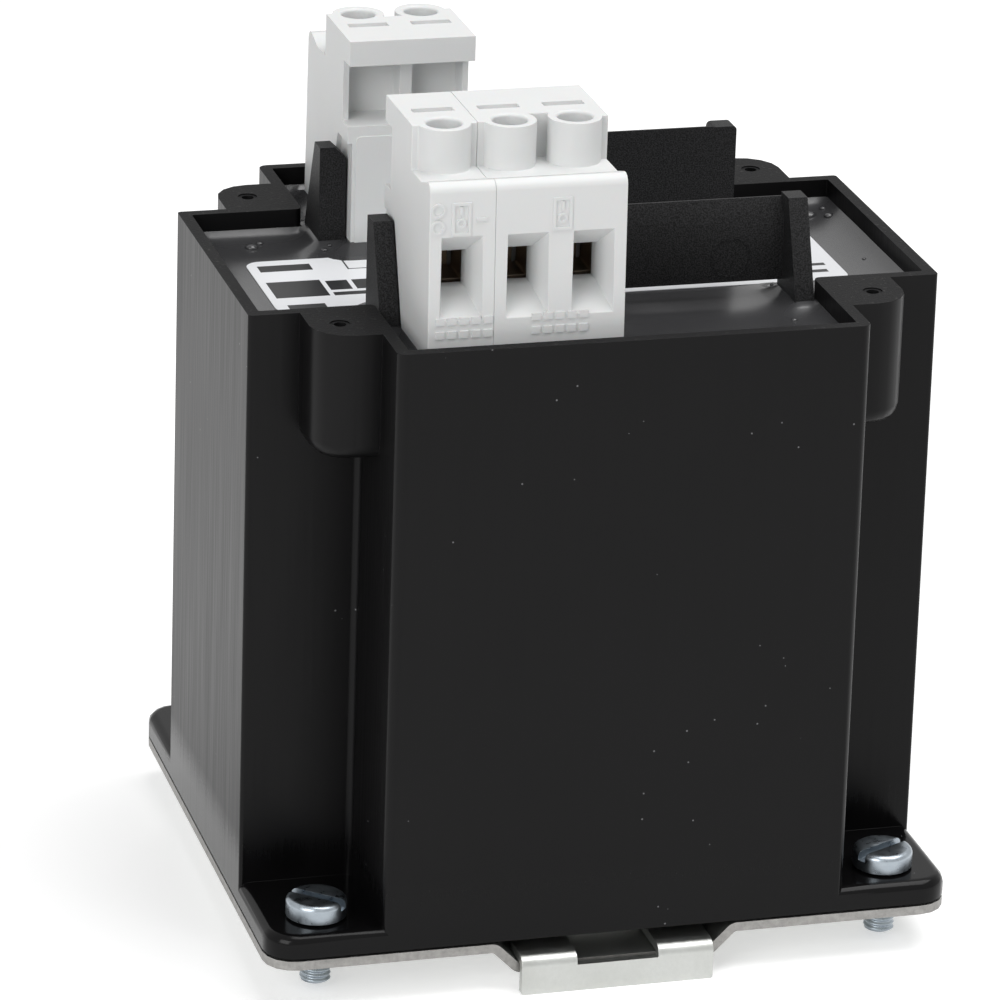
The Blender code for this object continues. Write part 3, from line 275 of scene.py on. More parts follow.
class Graph:
    """Short forms for building a material's nodes."""

    def __init__(self, name):
        self.material = bpy.data.materials.new(name)
        self.material.use_nodes = True
        self.tree = self.material.node_tree
        self.tree.nodes.clear()
        self.coordinates = None

    def node(self, kind, **settings):
        """Adds a node and sets its properties."""
        made = self.tree.nodes.new(kind)
        for name, value in settings.items():
            setattr(made, name, value)
        return made

    def link(self, source, target):
        """Joins an output to an input, or sets the input to a value."""
        if isinstance(source, bpy.types.NodeSocket):
            self.tree.links.new(source, target)
        else:
            target.default_value = source

    def place(self, scale=(1, 1, 1)):
        """The object's own coordinates, stretched by a scale for each axis."""
        if self.coordinates is None:
            self.coordinates = self.node("ShaderNodeTexCoord").outputs["Object"]
        mapping = self.node("ShaderNodeMapping")
        mapping.inputs["Scale"].default_value = scale
        self.link(self.coordinates, mapping.inputs["Vector"])
        return mapping.outputs["Vector"]

    def noise(self, scale, detail=4.0, roughness=0.55, stretch=(1, 1, 1)):
        """Noise with a number of cells for each metre."""
        made = self.node("ShaderNodeTexNoise")
        self.link(self.place(stretch), made.inputs["Vector"])
        made.inputs["Scale"].default_value = scale
        made.inputs["Detail"].default_value = detail
        made.inputs["Roughness"].default_value = roughness
        return made.outputs["Fac"]

    def spots(self, scale, stretch=(1, 1, 1)):
        """Distance to the nearest of many scattered points, in cells."""
        made = self.node("ShaderNodeTexVoronoi")
        self.link(self.place(stretch), made.inputs["Vector"])
        made.inputs["Scale"].default_value = scale
        return made.outputs["Distance"]

    def span(self, value, low, high, out_low=0.0, out_high=1.0):
        """Maps a value from one range to another."""
        made = self.node("ShaderNodeMapRange")
        self.link(value, made.inputs["Value"])
        made.inputs["From Min"].default_value = low
        made.inputs["From Max"].default_value = high
        made.inputs["To Min"].default_value = out_low
        made.inputs["To Max"].default_value = out_high
        return made.outputs["Result"]

    def math(self, operation, first, second):
        """One sum on two values."""
        made = self.node("ShaderNodeMath", operation=operation)
        self.link(first, made.inputs[0])
        self.link(second, made.inputs[1])
        return made.outputs[0]

    def blend(self, share, first, second):
        """A colour between two colours."""
        made = self.node("ShaderNodeMix", data_type="RGBA")
        self.link(share, made.inputs["Factor"])
        for colour, target in ((first, made.inputs["A"]), (second, made.inputs["B"])):
            value = colour if isinstance(colour, bpy.types.NodeSocket) else (*colour, 1)
            self.link(value, target)
        return made.outputs["Result"]

    def bump(self, height, depth, strength=1.0):
        """Small relief, its depth in metres."""
        made = self.node("ShaderNodeBump")
        made.inputs["Strength"].default_value = strength
        made.inputs["Distance"].default_value = depth
        self.link(height, made.inputs["Height"])
        return made.outputs["Normal"]

    def finish(self, colour, roughness, normal=None, **constants):
        """A principled surface; the names of constants have underscores for spaces."""
        shader = self.node("ShaderNodeBsdfPrincipled")
        base = colour if isinstance(colour, bpy.types.NodeSocket) else (*colour, 1)
        self.link(base, shader.inputs["Base Color"])
        self.link(roughness, shader.inputs["Roughness"])
        for name, value in constants.items():
            shader.inputs[name.replace("_", " ")].default_value = value
        if normal is not None:
            self.link(normal, shader.inputs["Normal"])
        output = self.node("ShaderNodeOutputMaterial")
        self.link(shader.outputs[0], output.inputs["Surface"])
        return self.material


def housing_material():
    """Satin black moulding with fine upright drag marks and a few specks of dust."""
    graph = Graph("housing_black")
    streaks = graph.noise(2600, 5, 0.6, (1, 1, 0.012))
    clouds = graph.noise(45, 3)
    dust = graph.math("LESS_THAN", graph.spots(420), 0.05)
    rare = graph.math("GREATER_THAN", graph.noise(60, 1), 0.56)
    dust = graph.math("MULTIPLY", dust, rare)
    black = graph.blend(clouds, (0.0028, 0.0027, 0.0029), (0.0046, 0.0044, 0.0047))
    colour = graph.blend(dust, black, (0.16, 0.16, 0.165))
    height = graph.node("ShaderNodeSeparateXYZ")
    graph.link(graph.place(), height.inputs[0])
    foot = graph.span(height.outputs["Z"], 9 * MM, 14 * MM, 0.2, 0.0)
    roughness = graph.math("SUBTRACT", graph.span(streaks, 0.3, 0.7, 0.3, 0.42), foot)
    relief = graph.bump(streaks, 0.012 * MM, 0.3)
    return graph.finish(colour, roughness, relief, Specular_IOR_Level=0.15)


def rim_material():
    """The cup's rim, with the grainy look of a trimmed edge."""
    graph = Graph("rim_black")
    grain = graph.noise(2600, 3, 0.7)
    flecks = graph.math("GREATER_THAN", graph.noise(1700, 2), 0.66)
    colour = graph.blend(grain, (0.003, 0.003, 0.0032), (0.011, 0.0108, 0.0114))
    colour = graph.blend(flecks, colour, (0.035, 0.034, 0.033))
    relief = graph.bump(grain, 0.1 * MM, 0.7)
    return graph.finish(colour, 0.6, relief, Specular_IOR_Level=0.12)


def former_material():
    """Glass-filled black plastic with a matt grain."""
    graph = Graph("former_black")
    grain = graph.noise(5600, 2, 0.6)
    share = graph.span(grain, 0.38, 0.66)
    colour = graph.blend(share, (0.0026, 0.0026, 0.0028), (0.03, 0.03, 0.031))
    relief = graph.bump(grain, 0.06 * MM, 0.8)
    return graph.finish(colour, 0.5, relief, Specular_IOR_Level=0.2)


def resin_material():
    """Glossy dark grey casting resin."""
    graph = Graph("resin_grey")
    clouds = graph.noise(60, 3)
    colour = graph.blend(clouds, (0.034, 0.034, 0.036), (0.05, 0.05, 0.052))
    ripple = graph.bump(graph.noise(260, 2), 0.05 * MM, 0.25)
    return graph.finish(colour, 0.2, ripple, Specular_IOR_Level=0.6)


def terminal_material():
    """Light grey terminal plastic with a faint grain."""
    graph = Graph("terminal_grey")
    clouds = graph.noise(120, 3)
    colour = graph.blend(clouds, (0.69, 0.7, 0.7), (0.735, 0.74, 0.735))
    relief = graph.bump(graph.noise(2200, 3), 0.03 * MM, 0.3)
    return graph.finish(
        colour, 0.45, relief, Subsurface_Weight=0.06, Subsurface_Scale=0.0006, Specular_IOR_Level=0.35)


def steel_material():
    """Zinc plated sheet steel with a fine speckle."""
    graph = Graph("zinc_sheet")
    speckle = graph.noise(1500, 5, 0.75)
    patches = graph.noise(160, 3)
    colour = graph.blend(speckle, (0.5, 0.51, 0.49), (0.66, 0.67, 0.65))
    colour = graph.blend(graph.span(patches, 0.35, 0.75, 0.0, 0.5), colour, (0.48, 0.49, 0.46))
    roughness = graph.span(speckle, 0.3, 0.7, 0.3, 0.46)
    relief = graph.bump(speckle, 0.03 * MM, 0.5)
    return graph.finish(colour, roughness, relief, Metallic=1.0)


def edge_material():
    """Sheared edge of the steel sheet, dull and mottled."""
    graph = Graph("sheared_edge")
    mottle = graph.noise(1100, 4, 0.7)
    colour = graph.blend(mottle, (0.16, 0.155, 0.15), (0.5, 0.49, 0.47))
    relief = graph.bump(mottle, 0.06 * MM, 0.6)
    return graph.finish(colour, 0.5, relief, Metallic=0.8)


def screw_material():
    """Bright bluish zinc on the screws."""
    graph = Graph("zinc_screw")
    speckle = graph.noise(900, 4, 0.6)
    colour = graph.blend(speckle, (0.26, 0.3, 0.34), (0.5, 0.55, 0.59))
    roughness = graph.span(speckle, 0.3, 0.7, 0.24, 0.38)
    relief = graph.bump(speckle, 0.04 * MM, 0.35)
    return graph.finish(colour, roughness, relief, Metallic=1.0)


def spring_material():
    """Drawn spring wire."""
    graph = Graph("spring_wire")
    return graph.finish((0.5, 0.5, 0.5), graph.span(graph.noise(800), 0.3, 0.7, 0.2, 0.34), Metallic=1.0)


def brass_material():
    """Dull plated brass of the clamps."""
    graph = Graph("clamp_brass")
    stain = graph.noise(500, 4)
    colour = graph.blend(stain, (0.16, 0.12, 0.09), (0.4, 0.33, 0.25))
    return graph.finish(colour, graph.span(stain, 0.3, 0.7, 0.3, 0.5), Metallic=1.0)


def copper_material():
    """Enamelled copper wire."""
    graph = Graph("copper_wire")
    turns = graph.noise(1200, 3, 0.5, (0.05, 0.05, 1))
    colour = graph.blend(turns, (0.45, 0.17, 0.07), (0.7, 0.33, 0.16))
    return graph.finish(colour, 0.3, graph.bump(turns, 0.1 * MM, 0.5), Metallic=1.0)


def core_material():
    """The edges of stacked laminations."""
    graph = Graph("core_sheets")
    sheets = graph.noise(1400, 2, 0.5, (0.02, 1, 0.02))
    colour = graph.blend(sheets, (0.16, 0.17, 0.19), (0.34, 0.35, 0.37))
    return graph.finish(colour, 0.5, graph.bump(sheets, 0.08 * MM, 0.5), Metallic=1.0)


def label_material():
    """Smooth white film."""
    graph = Graph("label_white")
    return graph.finish((0.8, 0.81, 0.83), graph.span(graph.noise(200), 0.3, 0.7, 0.3, 0.38))


def ink_material():
    """Black print on the label."""
    graph = Graph("label_ink")
    return graph.finish(graph.blend(graph.noise(900), (0.006, 0.006, 0.007), (0.012, 0.012, 0.013)), 0.4)


MATERIALS = {
    "housing_plastic": housing_material(),
    "former_plastic": former_material(),
    "potting_resin": resin_material(),
    "terminal_plastic": terminal_material(),
    "zinc_steel": steel_material(),
    "screw_zinc": screw_material(),
    "spring_steel": spring_material(),
    "core_steel": core_material(),
    "copper": copper_material(),
    "brass": brass_material(),
    "label": label_material(),
}
RIM_BLACK = rim_material()
INK = ink_material()
SHEARED = edge_material()


def paint(item, material):
    """Gives a whole object one finish."""
    item.data.materials.clear()
    item.data.materials.append(material)


def add_mesh(name, shape):
    """Links a new smooth object made from a bmesh, which is freed."""
    mesh = bpy.data.meshes.new(name)
    bmesh.ops.recalc_face_normals(shape, faces=shape.faces)
    shape.to_mesh(mesh)
    shape.free()
    mesh.shade_smooth()
    item = bpy.data.objects.new(name, mesh)
    bpy.context.scene.collection.objects.link(item)
    return item


def belong(item, slot, body="root"):
    """Finishes a new piece with a record slot and lets it ride on a body."""
    if not item.data.materials:
        paint(item, MATERIALS[slot])
    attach(item, body)
    return item


def node_shape(node):
    """A welded copy of a node's mesh with whole flat faces."""
    shape = bmesh.new()
    shape.from_mesh(NODES[node].data)
    bmesh.ops.remove_doubles(shape, verts=shape.verts, dist=WELD)
    bmesh.ops.dissolve_limit(shape, angle_limit=FLAT, verts=shape.verts, edges=shape.edges)
    return shape


def applied(item):
    """Applies an object's modifiers to its mesh."""
    bpy.context.view_layer.update()
    evaluated = item.evaluated_get(bpy.context.evaluated_depsgraph_get())
    mesh = bpy.data.meshes.new_from_object(evaluated)
    item.modifiers.clear()
    item.data = mesh
    return item


def mark_sharp(item):
    """Keeps edges sharp where faces meet at more than the sharp angle."""
    item.data.set_sharp_from_angle(angle=SHARP)


def even_normals(item):
    """Shades broad faces flat and the round edges between them smooth."""
    weighted = item.modifiers.new("normals", "WEIGHTED_NORMAL")
    weighted.keep_sharp = True
    return applied(item)


def round_edges(item, width, segments):
    """Rounds the sharp edges and shades the result smooth."""
    item.data.shade_smooth()
    bevel = item.modifiers.new("round", "BEVEL")
    bevel.width = width
    bevel.segments = segments
    bevel.limit_method = "ANGLE"
    bevel.angle_limit = SHARP
    bevel.harden_normals = False
    bevel.use_clamp_overlap = True
    return even_normals(item)


def carve(item, cutters):
    """Takes closed shapes out of an object."""
    for cutter in cutters:
        boolean = item.modifiers.new("carve", "BOOLEAN")
        boolean.operation = "DIFFERENCE"
        boolean.solver = "EXACT"
        boolean.object = cutter
    applied(item)
    for cutter in cutters:
        bpy.data.objects.remove(cutter)
    return item


def block(low, high):
    """A closed box between two corners, as a bmesh."""
    shape = bmesh.new()
    bmesh.ops.create_cube(shape, size=1)
    for vertex in shape.verts:
        share = vertex.co + Vector((0.5, 0.5, 0.5))
        vertex.co = [a + (b - a) * part for a, b, part in zip(low, high, share)]
    return shape


def closed_ring(profile):
    """A closed ring turned round the z axis from a closed profile of (radius, height)."""
    shape = bmesh.new()
    loops = []
    angles = [2 * pi * step / RING_STEPS for step in range(RING_STEPS)]
    for radius, height in profile:
        points = [(radius * cos(angle), radius * sin(angle), height) for angle in angles]
        loops.append([shape.verts.new(point) for point in points])
    loops.append(loops[0])
    for first, second in zip(loops, loops[1:]):
        for step in range(RING_STEPS):
            after = (step + 1) % RING_STEPS
            shape.faces.new((first[step], first[after], second[after], second[step]))
    return shape


def ring(centre, outer, inner, half):
    """A flat ring at a place in the plane, half its height to each side."""
    shape = closed_ring([(inner, half), (outer, half), (outer, -half), (inner, -half)])
    shape.transform(Matrix.Translation((*centre, 0)))
    return shape


def joined(shapes):
    """One bmesh from several, which are freed."""
    whole = bmesh.new()
    for shape in shapes:
        mesh = bpy.data.meshes.new("share")
        shape.to_mesh(mesh)
        shape.free()
        whole.from_mesh(mesh)
        bpy.data.meshes.remove(mesh)
    return whole


def upright(y, z, lean=0):
    """Stands a plan up on a face: its second axis points up, its third to the front."""
    return Matrix(((1, 0, 0, 0), (0, lean, -1, y), (0, 1, 0, z), (0, 0, 0, 1)))


def stand_for(item, node):
    """Lets a new piece stand for a node, on the same body and slot."""
    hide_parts(node)
    return belong(item, SLOTS[node], BODIES[node])


def refined(node, width, segments):
    """A node's own form with fine round edges."""
    item = round_edges(add_mesh(f"{node}_fine", node_shape(node)), width, segments)
    paint(item, MATERIALS[SLOTS[node]])
    return stand_for(item, node)


def dress_nodes():
    """Gives every node's own solid its finish; pieces made later stand for them."""
    for node, item in NODES.items():
        paint(item, MATERIALS[SLOTS[node]])


def make_housing():
    """The moulded cup, with its rim and bosses trimmed rough."""
    cup = refined("housing", *CUP_ROUND)
    cup.data.materials.append(RIM_BLACK)
    for face in cup.data.polygons:
        if face.normal.z > LOOKS_UP and face.center.z > RIM_Z - RIM_BAND:
            face.material_index = 1
    outer, bore, half = BOSS_INSERT
    across, along = BOSS_HOLE
    places = [(x, y) for x in (-across, across) for y in (-along, along)]
    inserts = [ring(place, outer, bore, half) for place in places]
    item = add_mesh("boss_inserts", joined(inserts))
    item.data.transform(Matrix.Translation((0, 0, RIM_Z - BOSS_TOP)))
    mark_sharp(item)
    paint(item, RIM_BLACK)
    belong(item, "housing_plastic")


def make_former():
    """The coil former, its rear fins lowered and their ends cut or rounded."""
    shape = node_shape("coil_former")
    top = max(vertex.co.z for vertex in shape.verts)
    tops = [vertex for vertex in shape.verts if vertex.co.z > top - FIN_TOP_BAND]
    lowered = [vertex for vertex in tops if vertex.co.x < 0]
    for vertex in tops:
        vertex.co.z -= REAR_FIN_DROP
    ends = (
        (lowered, max(vertex.co.x for vertex in lowered), FIN_CHAMFER, 1),
        (tops, max(vertex.co.x for vertex in tops), FIN_ROUND, FIN_ROUND_STEPS),
        (tops, min(vertex.co.x for vertex in tops if vertex.co.x > 0), FIN_ROUND, FIN_ROUND_STEPS),
    )
    for vertices, x, width, segments in ends:
        whole = [vertex for vertex in vertices if vertex.is_valid]
        chosen = {vertex for vertex in whole if abs(vertex.co.x - x) < FIN_END_BAND}
        edges = [edge for edge in shape.edges if set(edge.verts) <= chosen]
        bmesh.ops.bevel(shape, geom=edges, offset=width, segments=segments, profile=0.5, affect="EDGES")
    former = add_mesh("coil_former_fine", shape)
    round_edges(former, *FORMER_ROUND)
    paint(former, MATERIALS["former_plastic"])
    stand_for(former, "coil_former")


def make_foot():
    """The sheet steel foot with its sheared edges."""
    foot = refined("base_plate", *FOOT_ROUND)
    foot.data.materials.append(SHEARED)
    for face in foot.data.polygons:
        if abs(face.normal.z) < LOOKS_ASIDE:
            face.material_index = 1


def turned(profile, steps=STEPS, wave=None):
    """A closed turned shape from a profile of (radius, height) that runs from top to bottom."""
    shape = bmesh.new()
    rings = []
    for radius, height in profile:
        if radius < WELD:
            rings.append([shape.verts.new((0, 0, height))])
            continue
        rings.append([])
        for step in range(steps):
            angle = 2 * pi * step / steps
            reach = wave(radius, height, angle) if wave else radius
            rings[-1].append(shape.verts.new((reach * cos(angle), reach * sin(angle), height)))
    for upper, lower in zip(rings, rings[1:]):
        for step in range(steps):
            after = step + 1
            corners = [upper[step % len(upper)], upper[after % steps % len(upper)],
                       lower[after % steps % len(lower)], lower[step % len(lower)]]
            shape.faces.new(list(dict.fromkeys(corners)))
    return shape


def head_profile(radius, height, edge, shank, length):
    """Profile of a flat head with a round shoulder over a plain shank."""
    arc = [pi / 2 * step / CORNER_STEPS for step in range(CORNER_STEPS + 1)]
    crown = [(radius - edge + edge * sin(angle), height - edge + edge * cos(angle)) for angle in arc]
    return [(0, height), *crown, (radius, 0), (shank, 0), (shank, -length), (0, -length)]


def slotted_head(name, profile, slot, place, turn):
    """A slotted screw head with its shank, its seat at the given place."""
    item = add_mesh(name, turned(profile))
    top = profile[0][1]
    reach = max(entry[0] for entry in profile) + OVERCUT
    width, depth = slot
    cutter = add_mesh("slot", block((-reach, -width / 2, top - depth), (reach, width / 2, top + OVERCUT)))
    carve(item, [cutter])
    round_edges(item, *HEAD_ROUND)
    item.data.transform(Matrix.Translation(place) @ Matrix.Rotation(turn, 4, "Z"))
    return item


def thread_wave(radius, height, angle):
    """Radius of a thread's ridges at one point; the smooth end has a smaller radius."""
    if radius < SCREW_SHANK:
        return radius
    share = (height / THREAD_PITCH + angle / (2 * pi)) % 1
    return radius - THREAD_DEPTH * abs(2 * share - 1)


def make_flange_screws():
    """Slotted pan head screws with a real thread where they end under the foot."""
    head = head_profile(SCREW_HEAD, SCREW_HEAD_HEIGHT, SCREW_HEAD_EDGE, SCREW_SHANK, SCREW_LENGTH)
    for corner, turn in SCREW_TURNS.items():
        node = f"flange_screw_{corner}"
        low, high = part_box(node)
        middle = (low + high) / 2
        seat = Vector((middle.x, middle.y, high.z - SCREW_HEAD_HEIGHT))
        item = slotted_head(f"{node}_head", head, SCREW_SLOT, seat, radians(turn))
        paint(item, MATERIALS["screw_zinc"])
        stand_for(item, node)
        step = THREAD_PITCH / THREAD_ROWS
        count = int((THREAD_TOP - low.z) / step)
        heights = [THREAD_TOP - index * step for index in range(count)]
        profile = [(0, heights[0]), *((SCREW_SHANK, height) for height in heights)]
        profile += [(SCREW_SHANK - THREAD_POINT, low.z), (0, low.z)]
        thread = add_mesh(f"{node}_thread", turned(profile, THREAD_STEPS, thread_wave))
        thread.data.transform(Matrix.Translation((middle.x, middle.y, 0)))
        belong(thread, "screw_zinc")


def make_clamp_screws():
    """The terminal screws, which turn in their towers."""
    for number, pole in enumerate(POLES, 1):
        node = f"clamp_screw_{number}"
        low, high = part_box(node)
        length = high.z - low.z - CLAMP_HEAD_HEIGHT
        profile = head_profile(CLAMP_HEAD, CLAMP_HEAD_HEIGHT, CLAMP_HEAD_EDGE, CLAMP_SHANK, length)
        seat = Vector((pole.x, pole.y, high.z - CLAMP_HEAD_HEIGHT))
        item = slotted_head(f"{node}_head", profile, CLAMP_SLOT, seat, 0)
        paint(item, MATERIALS["screw_zinc"])
        stand_for(item, node)


def make_clamps():
    """The clamp cages and current bars inside the strips."""
    for number in range(1, len(POLES) + 1):
        refined(f"clamp_cage_{number}", *CLAMP_ROUND)
        refined(f"current_bar_{number}", *CLAMP_ROUND)


def make_latch():
    """The latch slide, its notch open as far as under the cup."""
    latch = round_edges(add_mesh("rail_latch_fine", node_shape("rail_latch")), *SLIDE_ROUND)
    bottom, top = NOTCH_Z
    notch = block((-NOTCH_HALF, NOTCH_FRONT, bottom), (NOTCH_HALF, NOTCH_BACK, top))
    carve(latch, [add_mesh("notch", notch)])
    mark_sharp(latch)
    even_normals(latch)
    paint(latch, MATERIALS["zinc_steel"])
    stand_for(latch, "rail_latch")


def make_spring():
    """The latch slide's compression spring; the real one shortens as the slide is pulled, this coil keeps
    its length.
    """
    low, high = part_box("latch_spring")
    middle = (low + high) / 2
    radius = (high.x - low.x) / 2 - SPRING_WIRE
    length = high.y - low.y
    count = SPRING_TURNS * SPRING_STEPS
    along = Vector((0, 1, 0))
    sides = [2 * pi * side / WIRE_SIDES for side in range(WIRE_SIDES)]
    shape = bmesh.new()
    loops = []
    for index in range(count + 1):
        angle = 2 * pi * index / SPRING_STEPS
        outward = Vector((cos(angle), 0, sin(angle)))
        share = index / count
        centre = Vector((middle.x, low.y + SPRING_WIRE + share * (length - 2 * SPRING_WIRE), middle.z))
        centre += outward * radius
        points = [centre + (outward * cos(turn) + along * sin(turn)) * SPRING_WIRE for turn in sides]
        loops.append([shape.verts.new(point) for point in points])
    for first, second in zip(loops, loops[1:]):
        for side in range(WIRE_SIDES):
            after = (side + 1) % WIRE_SIDES
            shape.faces.new((first[side], first[after], second[after], second[side]))
    shape.faces.new(loops[0][::-1])
    shape.faces.new(loops[-1])
    spring = add_mesh("latch_spring_fine", shape)
    mark_sharp(spring)
    stand_for(spring, "latch_spring")
    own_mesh(spring)


def wall_distance(x, y):
    """How far a point inside the cup is from its nearest wall."""
    x, y = abs(x), abs(y)
    in_arm = min(ARM_X - x, ARM_Y - y)
    in_bay = min(BAY_X - x, BAY_Y - y)
    if min(in_arm, in_bay) < 0:
        return max(in_arm, in_bay)
    return min(ARM_X - x, BAY_Y - y, hypot(BAY_X - x, ARM_Y - y))


def strip_places(name):
    """A strip's box and the end of the transformer that it stands at."""
    low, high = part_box(f"terminal_strip_{name}")
    return low, high, (1 if low.y > 0 else -1)


def standing_pieces():
    """Plans of what stands in the resin: low x, high x, low y, high y."""
    plans = []
    for name in STRIPS:
        low, high, _ = strip_places(name)
        plans.append((low.x, high.x, low.y, high.y))
    for left, right, end in FINS + POSTS:
        near, far = sorted((end * HOLDER_BACK, end * FIN_FRONT))
        plans.append((left, right, near, far))
    return plans


STANDING = standing_pieces()


def resin_height(x, y):
    """Height of the resin's surface, which climbs where it wets a wall."""
    near = wall_distance(x, y)
    for low_x, high_x, low_y, high_y in STANDING:
        aside = hypot(max(low_x - x, 0, x - high_x), max(low_y - y, 0, y - high_y))
        near = min(near, aside)
    climb = RESIN_CLIMB * exp(-max(near, 0) / RESIN_REACH)
    ripple = RESIN_RIPPLE * noise.noise(Vector((x, y, 0)) / RIPPLE_WAVE)
    return RESIN_Z + RESIN_FILM + climb + ripple


def steps_between(low, high, cell):
    """Even steps from low to high, each about one cell."""
    count = max(1, round((high - low) / cell))
    return [low + (high - low) * index / count for index in range(count + 1)]


def closed_below(shape, depth):
    """Gives an open sheet straight sides and a flat underside at a height."""
    rim = [edge for edge in shape.edges if len(edge.link_faces) == 1]
    made = bmesh.ops.extrude_edge_only(shape, edges=rim)["geom"]
    lower = {item for item in made if isinstance(item, bmesh.types.BMVert)}
    for vertex in lower:
        vertex.co.z = depth
    edges = [item for item in made if isinstance(item, bmesh.types.BMEdge)]
    bottom = [edge for edge in edges if lower.issuperset(edge.verts)]
    bmesh.ops.contextual_create(shape, geom=bottom)
    return shape


def make_resin():
    """The resin's skin, drawn up against the walls and all that stands in it."""
    across = []
    along = []
    for low, high in ((-ARM_X, -BAY_X), (-BAY_X, BAY_X), (BAY_X, ARM_X)):
        across += steps_between(low, high, RESIN_CELL)[len(across) > 0:]
    for low, high in ((-BAY_Y, -ARM_Y), (-ARM_Y, ARM_Y), (ARM_Y, BAY_Y)):
        along += steps_between(low, high, RESIN_CELL)[len(along) > 0:]
    shape = bmesh.new()
    grid = {}

    def corner(column, row):
        if (column, row) not in grid:
            x, y = across[column], along[row]
            grid[column, row] = shape.verts.new((x, y, resin_height(x, y)))
        return grid[column, row]

    for column in range(len(across) - 1):
        for row in range(len(along) - 1):
            x = (across[column] + across[column + 1]) / 2
            y = (along[row] + along[row + 1]) / 2
            if wall_distance(x, y) > 0:
                cells = ((column, row), (column + 1, row), (column + 1, row + 1), (column, row + 1))
                shape.faces.new([corner(*cell) for cell in cells])
    skin = add_mesh("resin_skin", closed_below(shape, RESIN_Z - SKIN_DEPTH))
    mark_sharp(skin)
    belong(skin, "potting_resin")


def make_bubbles():
    """Small domes left by air in the resin."""
    around, up = BUBBLE_STEPS
    flat = Matrix.Diagonal((1, 1, BUBBLE_FLAT, 1))
    shape = bmesh.new()
    for x, y, radius in BUBBLES:
        made = bmesh.ops.create_uvsphere(shape, u_segments=around, v_segments=up, radius=radius * MM)
        centre = Vector((x * MM, y * MM, resin_height(x * MM, y * MM)))
        bmesh.ops.transform(shape, matrix=Matrix.Translation(centre) @ flat, verts=made["verts"])
    belong(add_mesh("resin_bubbles", shape), "potting_resin")


def rounded_plate(low, high, corner, bottom, top):
    """A flat closed plate with round corners."""
    shape = bmesh.new()
    outline = []
    middles = ((high[0] - corner, high[1] - corner), (low[0] + corner, high[1] - corner),
               (low[0] + corner, low[1] + corner), (high[0] - corner, low[1] + corner))
    for quarter, (x, y) in enumerate(middles):
        for step in range(CORNER_STEPS + 1):
            angle = pi / 2 * (quarter + step / CORNER_STEPS)
            outline.append(shape.verts.new((x + corner * cos(angle), y + corner * sin(angle), top)))
    shape.faces.new(outline)
    return closed_below(shape, bottom)


def print_bars():
    """The label's plain bars, rows and box, in millimetres: left, right, low, high."""
    bars = list(PRINT_BARS)
    for row in range(PRINT_ROWS):
        low, high = (level - PRINT_ROW_STEP * row for level in PRINT_ROW)
        for left, right, shorter, cycle in PRINT_COLUMNS:
            bars.append((left, right - shorter * (row % cycle), low, high))
    left, right, low, high = PRINT_BOX
    bars += [(left, right, low, low + PRINT_LINE), (left, right, high - PRINT_LINE, high)]
    bars += [(left, left + PRINT_LINE, low, high), (right - PRINT_LINE, right, low, high)]
    return bars


def make_label():
    """A white label on the resin, printed with plain bars and a box."""
    bottom = RESIN_Z + LABEL_LIFT
    top = bottom + LABEL_FILM
    low, high = zip(LABEL_X, LABEL_Y)
    label = add_mesh("label_sheet", rounded_plate(low, high, LABEL_CORNER, bottom, top))
    mark_sharp(label)
    belong(label, "label")
    shapes = []
    for left, right, near, far in print_bars():
        corners = ((left * MM, near * MM, top - INK_FILM), (right * MM, far * MM, top + INK_FILM))
        shapes.append(block(*corners))
    print_marks = add_mesh("label_print", joined(shapes))
    print_marks.data.shade_flat()
    paint(print_marks, INK)
    belong(print_marks, "label")


def make_strip(name):
    """One terminal strip with its marker slots cut to their full width and its seams closed."""
    node = f"terminal_strip_{name}"
    low, high, end = strip_places(name)
    shape = node_shape(node)
    for vertex in shape.verts:
        if abs(vertex.co.x - low.x) < WELD:
            vertex.co.x -= STRIP_TIGHT
        elif abs(vertex.co.x - high.x) < WELD:
            vertex.co.x += STRIP_TIGHT
    strip = add_mesh(f"{node}_fine", shape)
    width, along, deep = MARKER_SLOT
    cutters = []
    for pole in POLES:
        if low.x < pole.x < high.x and low.y < pole.y < high.y:
            y = pole.y - end * (TOWER_DEPTH - MARKER_DEPTH)
            corners = ((pole.x - width / 2, y - along / 2, high.z - deep),
                       (pole.x + width / 2, y + along / 2, high.z + OVERCUT))
            cutters.append(add_mesh("marker", block(*corners)))
    groove_y = low.y + STRIP_DEPTH - GROOVE_DEPTH if end < 0 else high.y - STRIP_DEPTH + GROOVE_DEPTH
    groove_z = low.z + GROOVE_HEIGHT
    cutters.append(add_mesh("groove", block(
        (low.x - OVERCUT, groove_y - GROOVE / 2, groove_z - GROOVE),
        (high.x + OVERCUT, groove_y + GROOVE / 2, groove_z + OVERCUT))))
    round_edges(strip, *STRIP_ROUND)
    carve(strip, cutters)
    mark_sharp(strip)
    even_normals(strip)
    paint(strip, MATERIALS[SLOTS[node]])
    stand_for(strip, node)


def make_panels():
    """A flat panel low on the face of each strip that looks to the middle."""
    for name in STRIPS:
        low, high, end = strip_places(name)
        corners = ((low.x + PANEL_EDGE, PANEL_EDGE), (high.x - PANEL_EDGE, PANEL_TOP))
        plate = rounded_plate(*corners, PANEL_CORNER, -PANEL_PROUD, PANEL_PROUD)
        panel = add_mesh(f"strip_panel_{name}", plate)
        face_y = low.y + FACE_INSET if end > 0 else high.y - FACE_INSET
        panel.data.transform(upright(face_y, low.z))
        mark_sharp(panel)
        belong(panel, "terminal_plastic")


def frame_lines(left, right, low, high, line, proud):
    """The four raised lines of a small box."""
    sides = (
        (left, right, low, low + line),
        (left, right, high - line, high),
        (left, left + line, low + line, high - line),
        (right - line, right, low + line, high - line),
    )
    return [block((x0, y0, -proud), (x1, y1, proud)) for x0, x1, y0, y1 in sides]


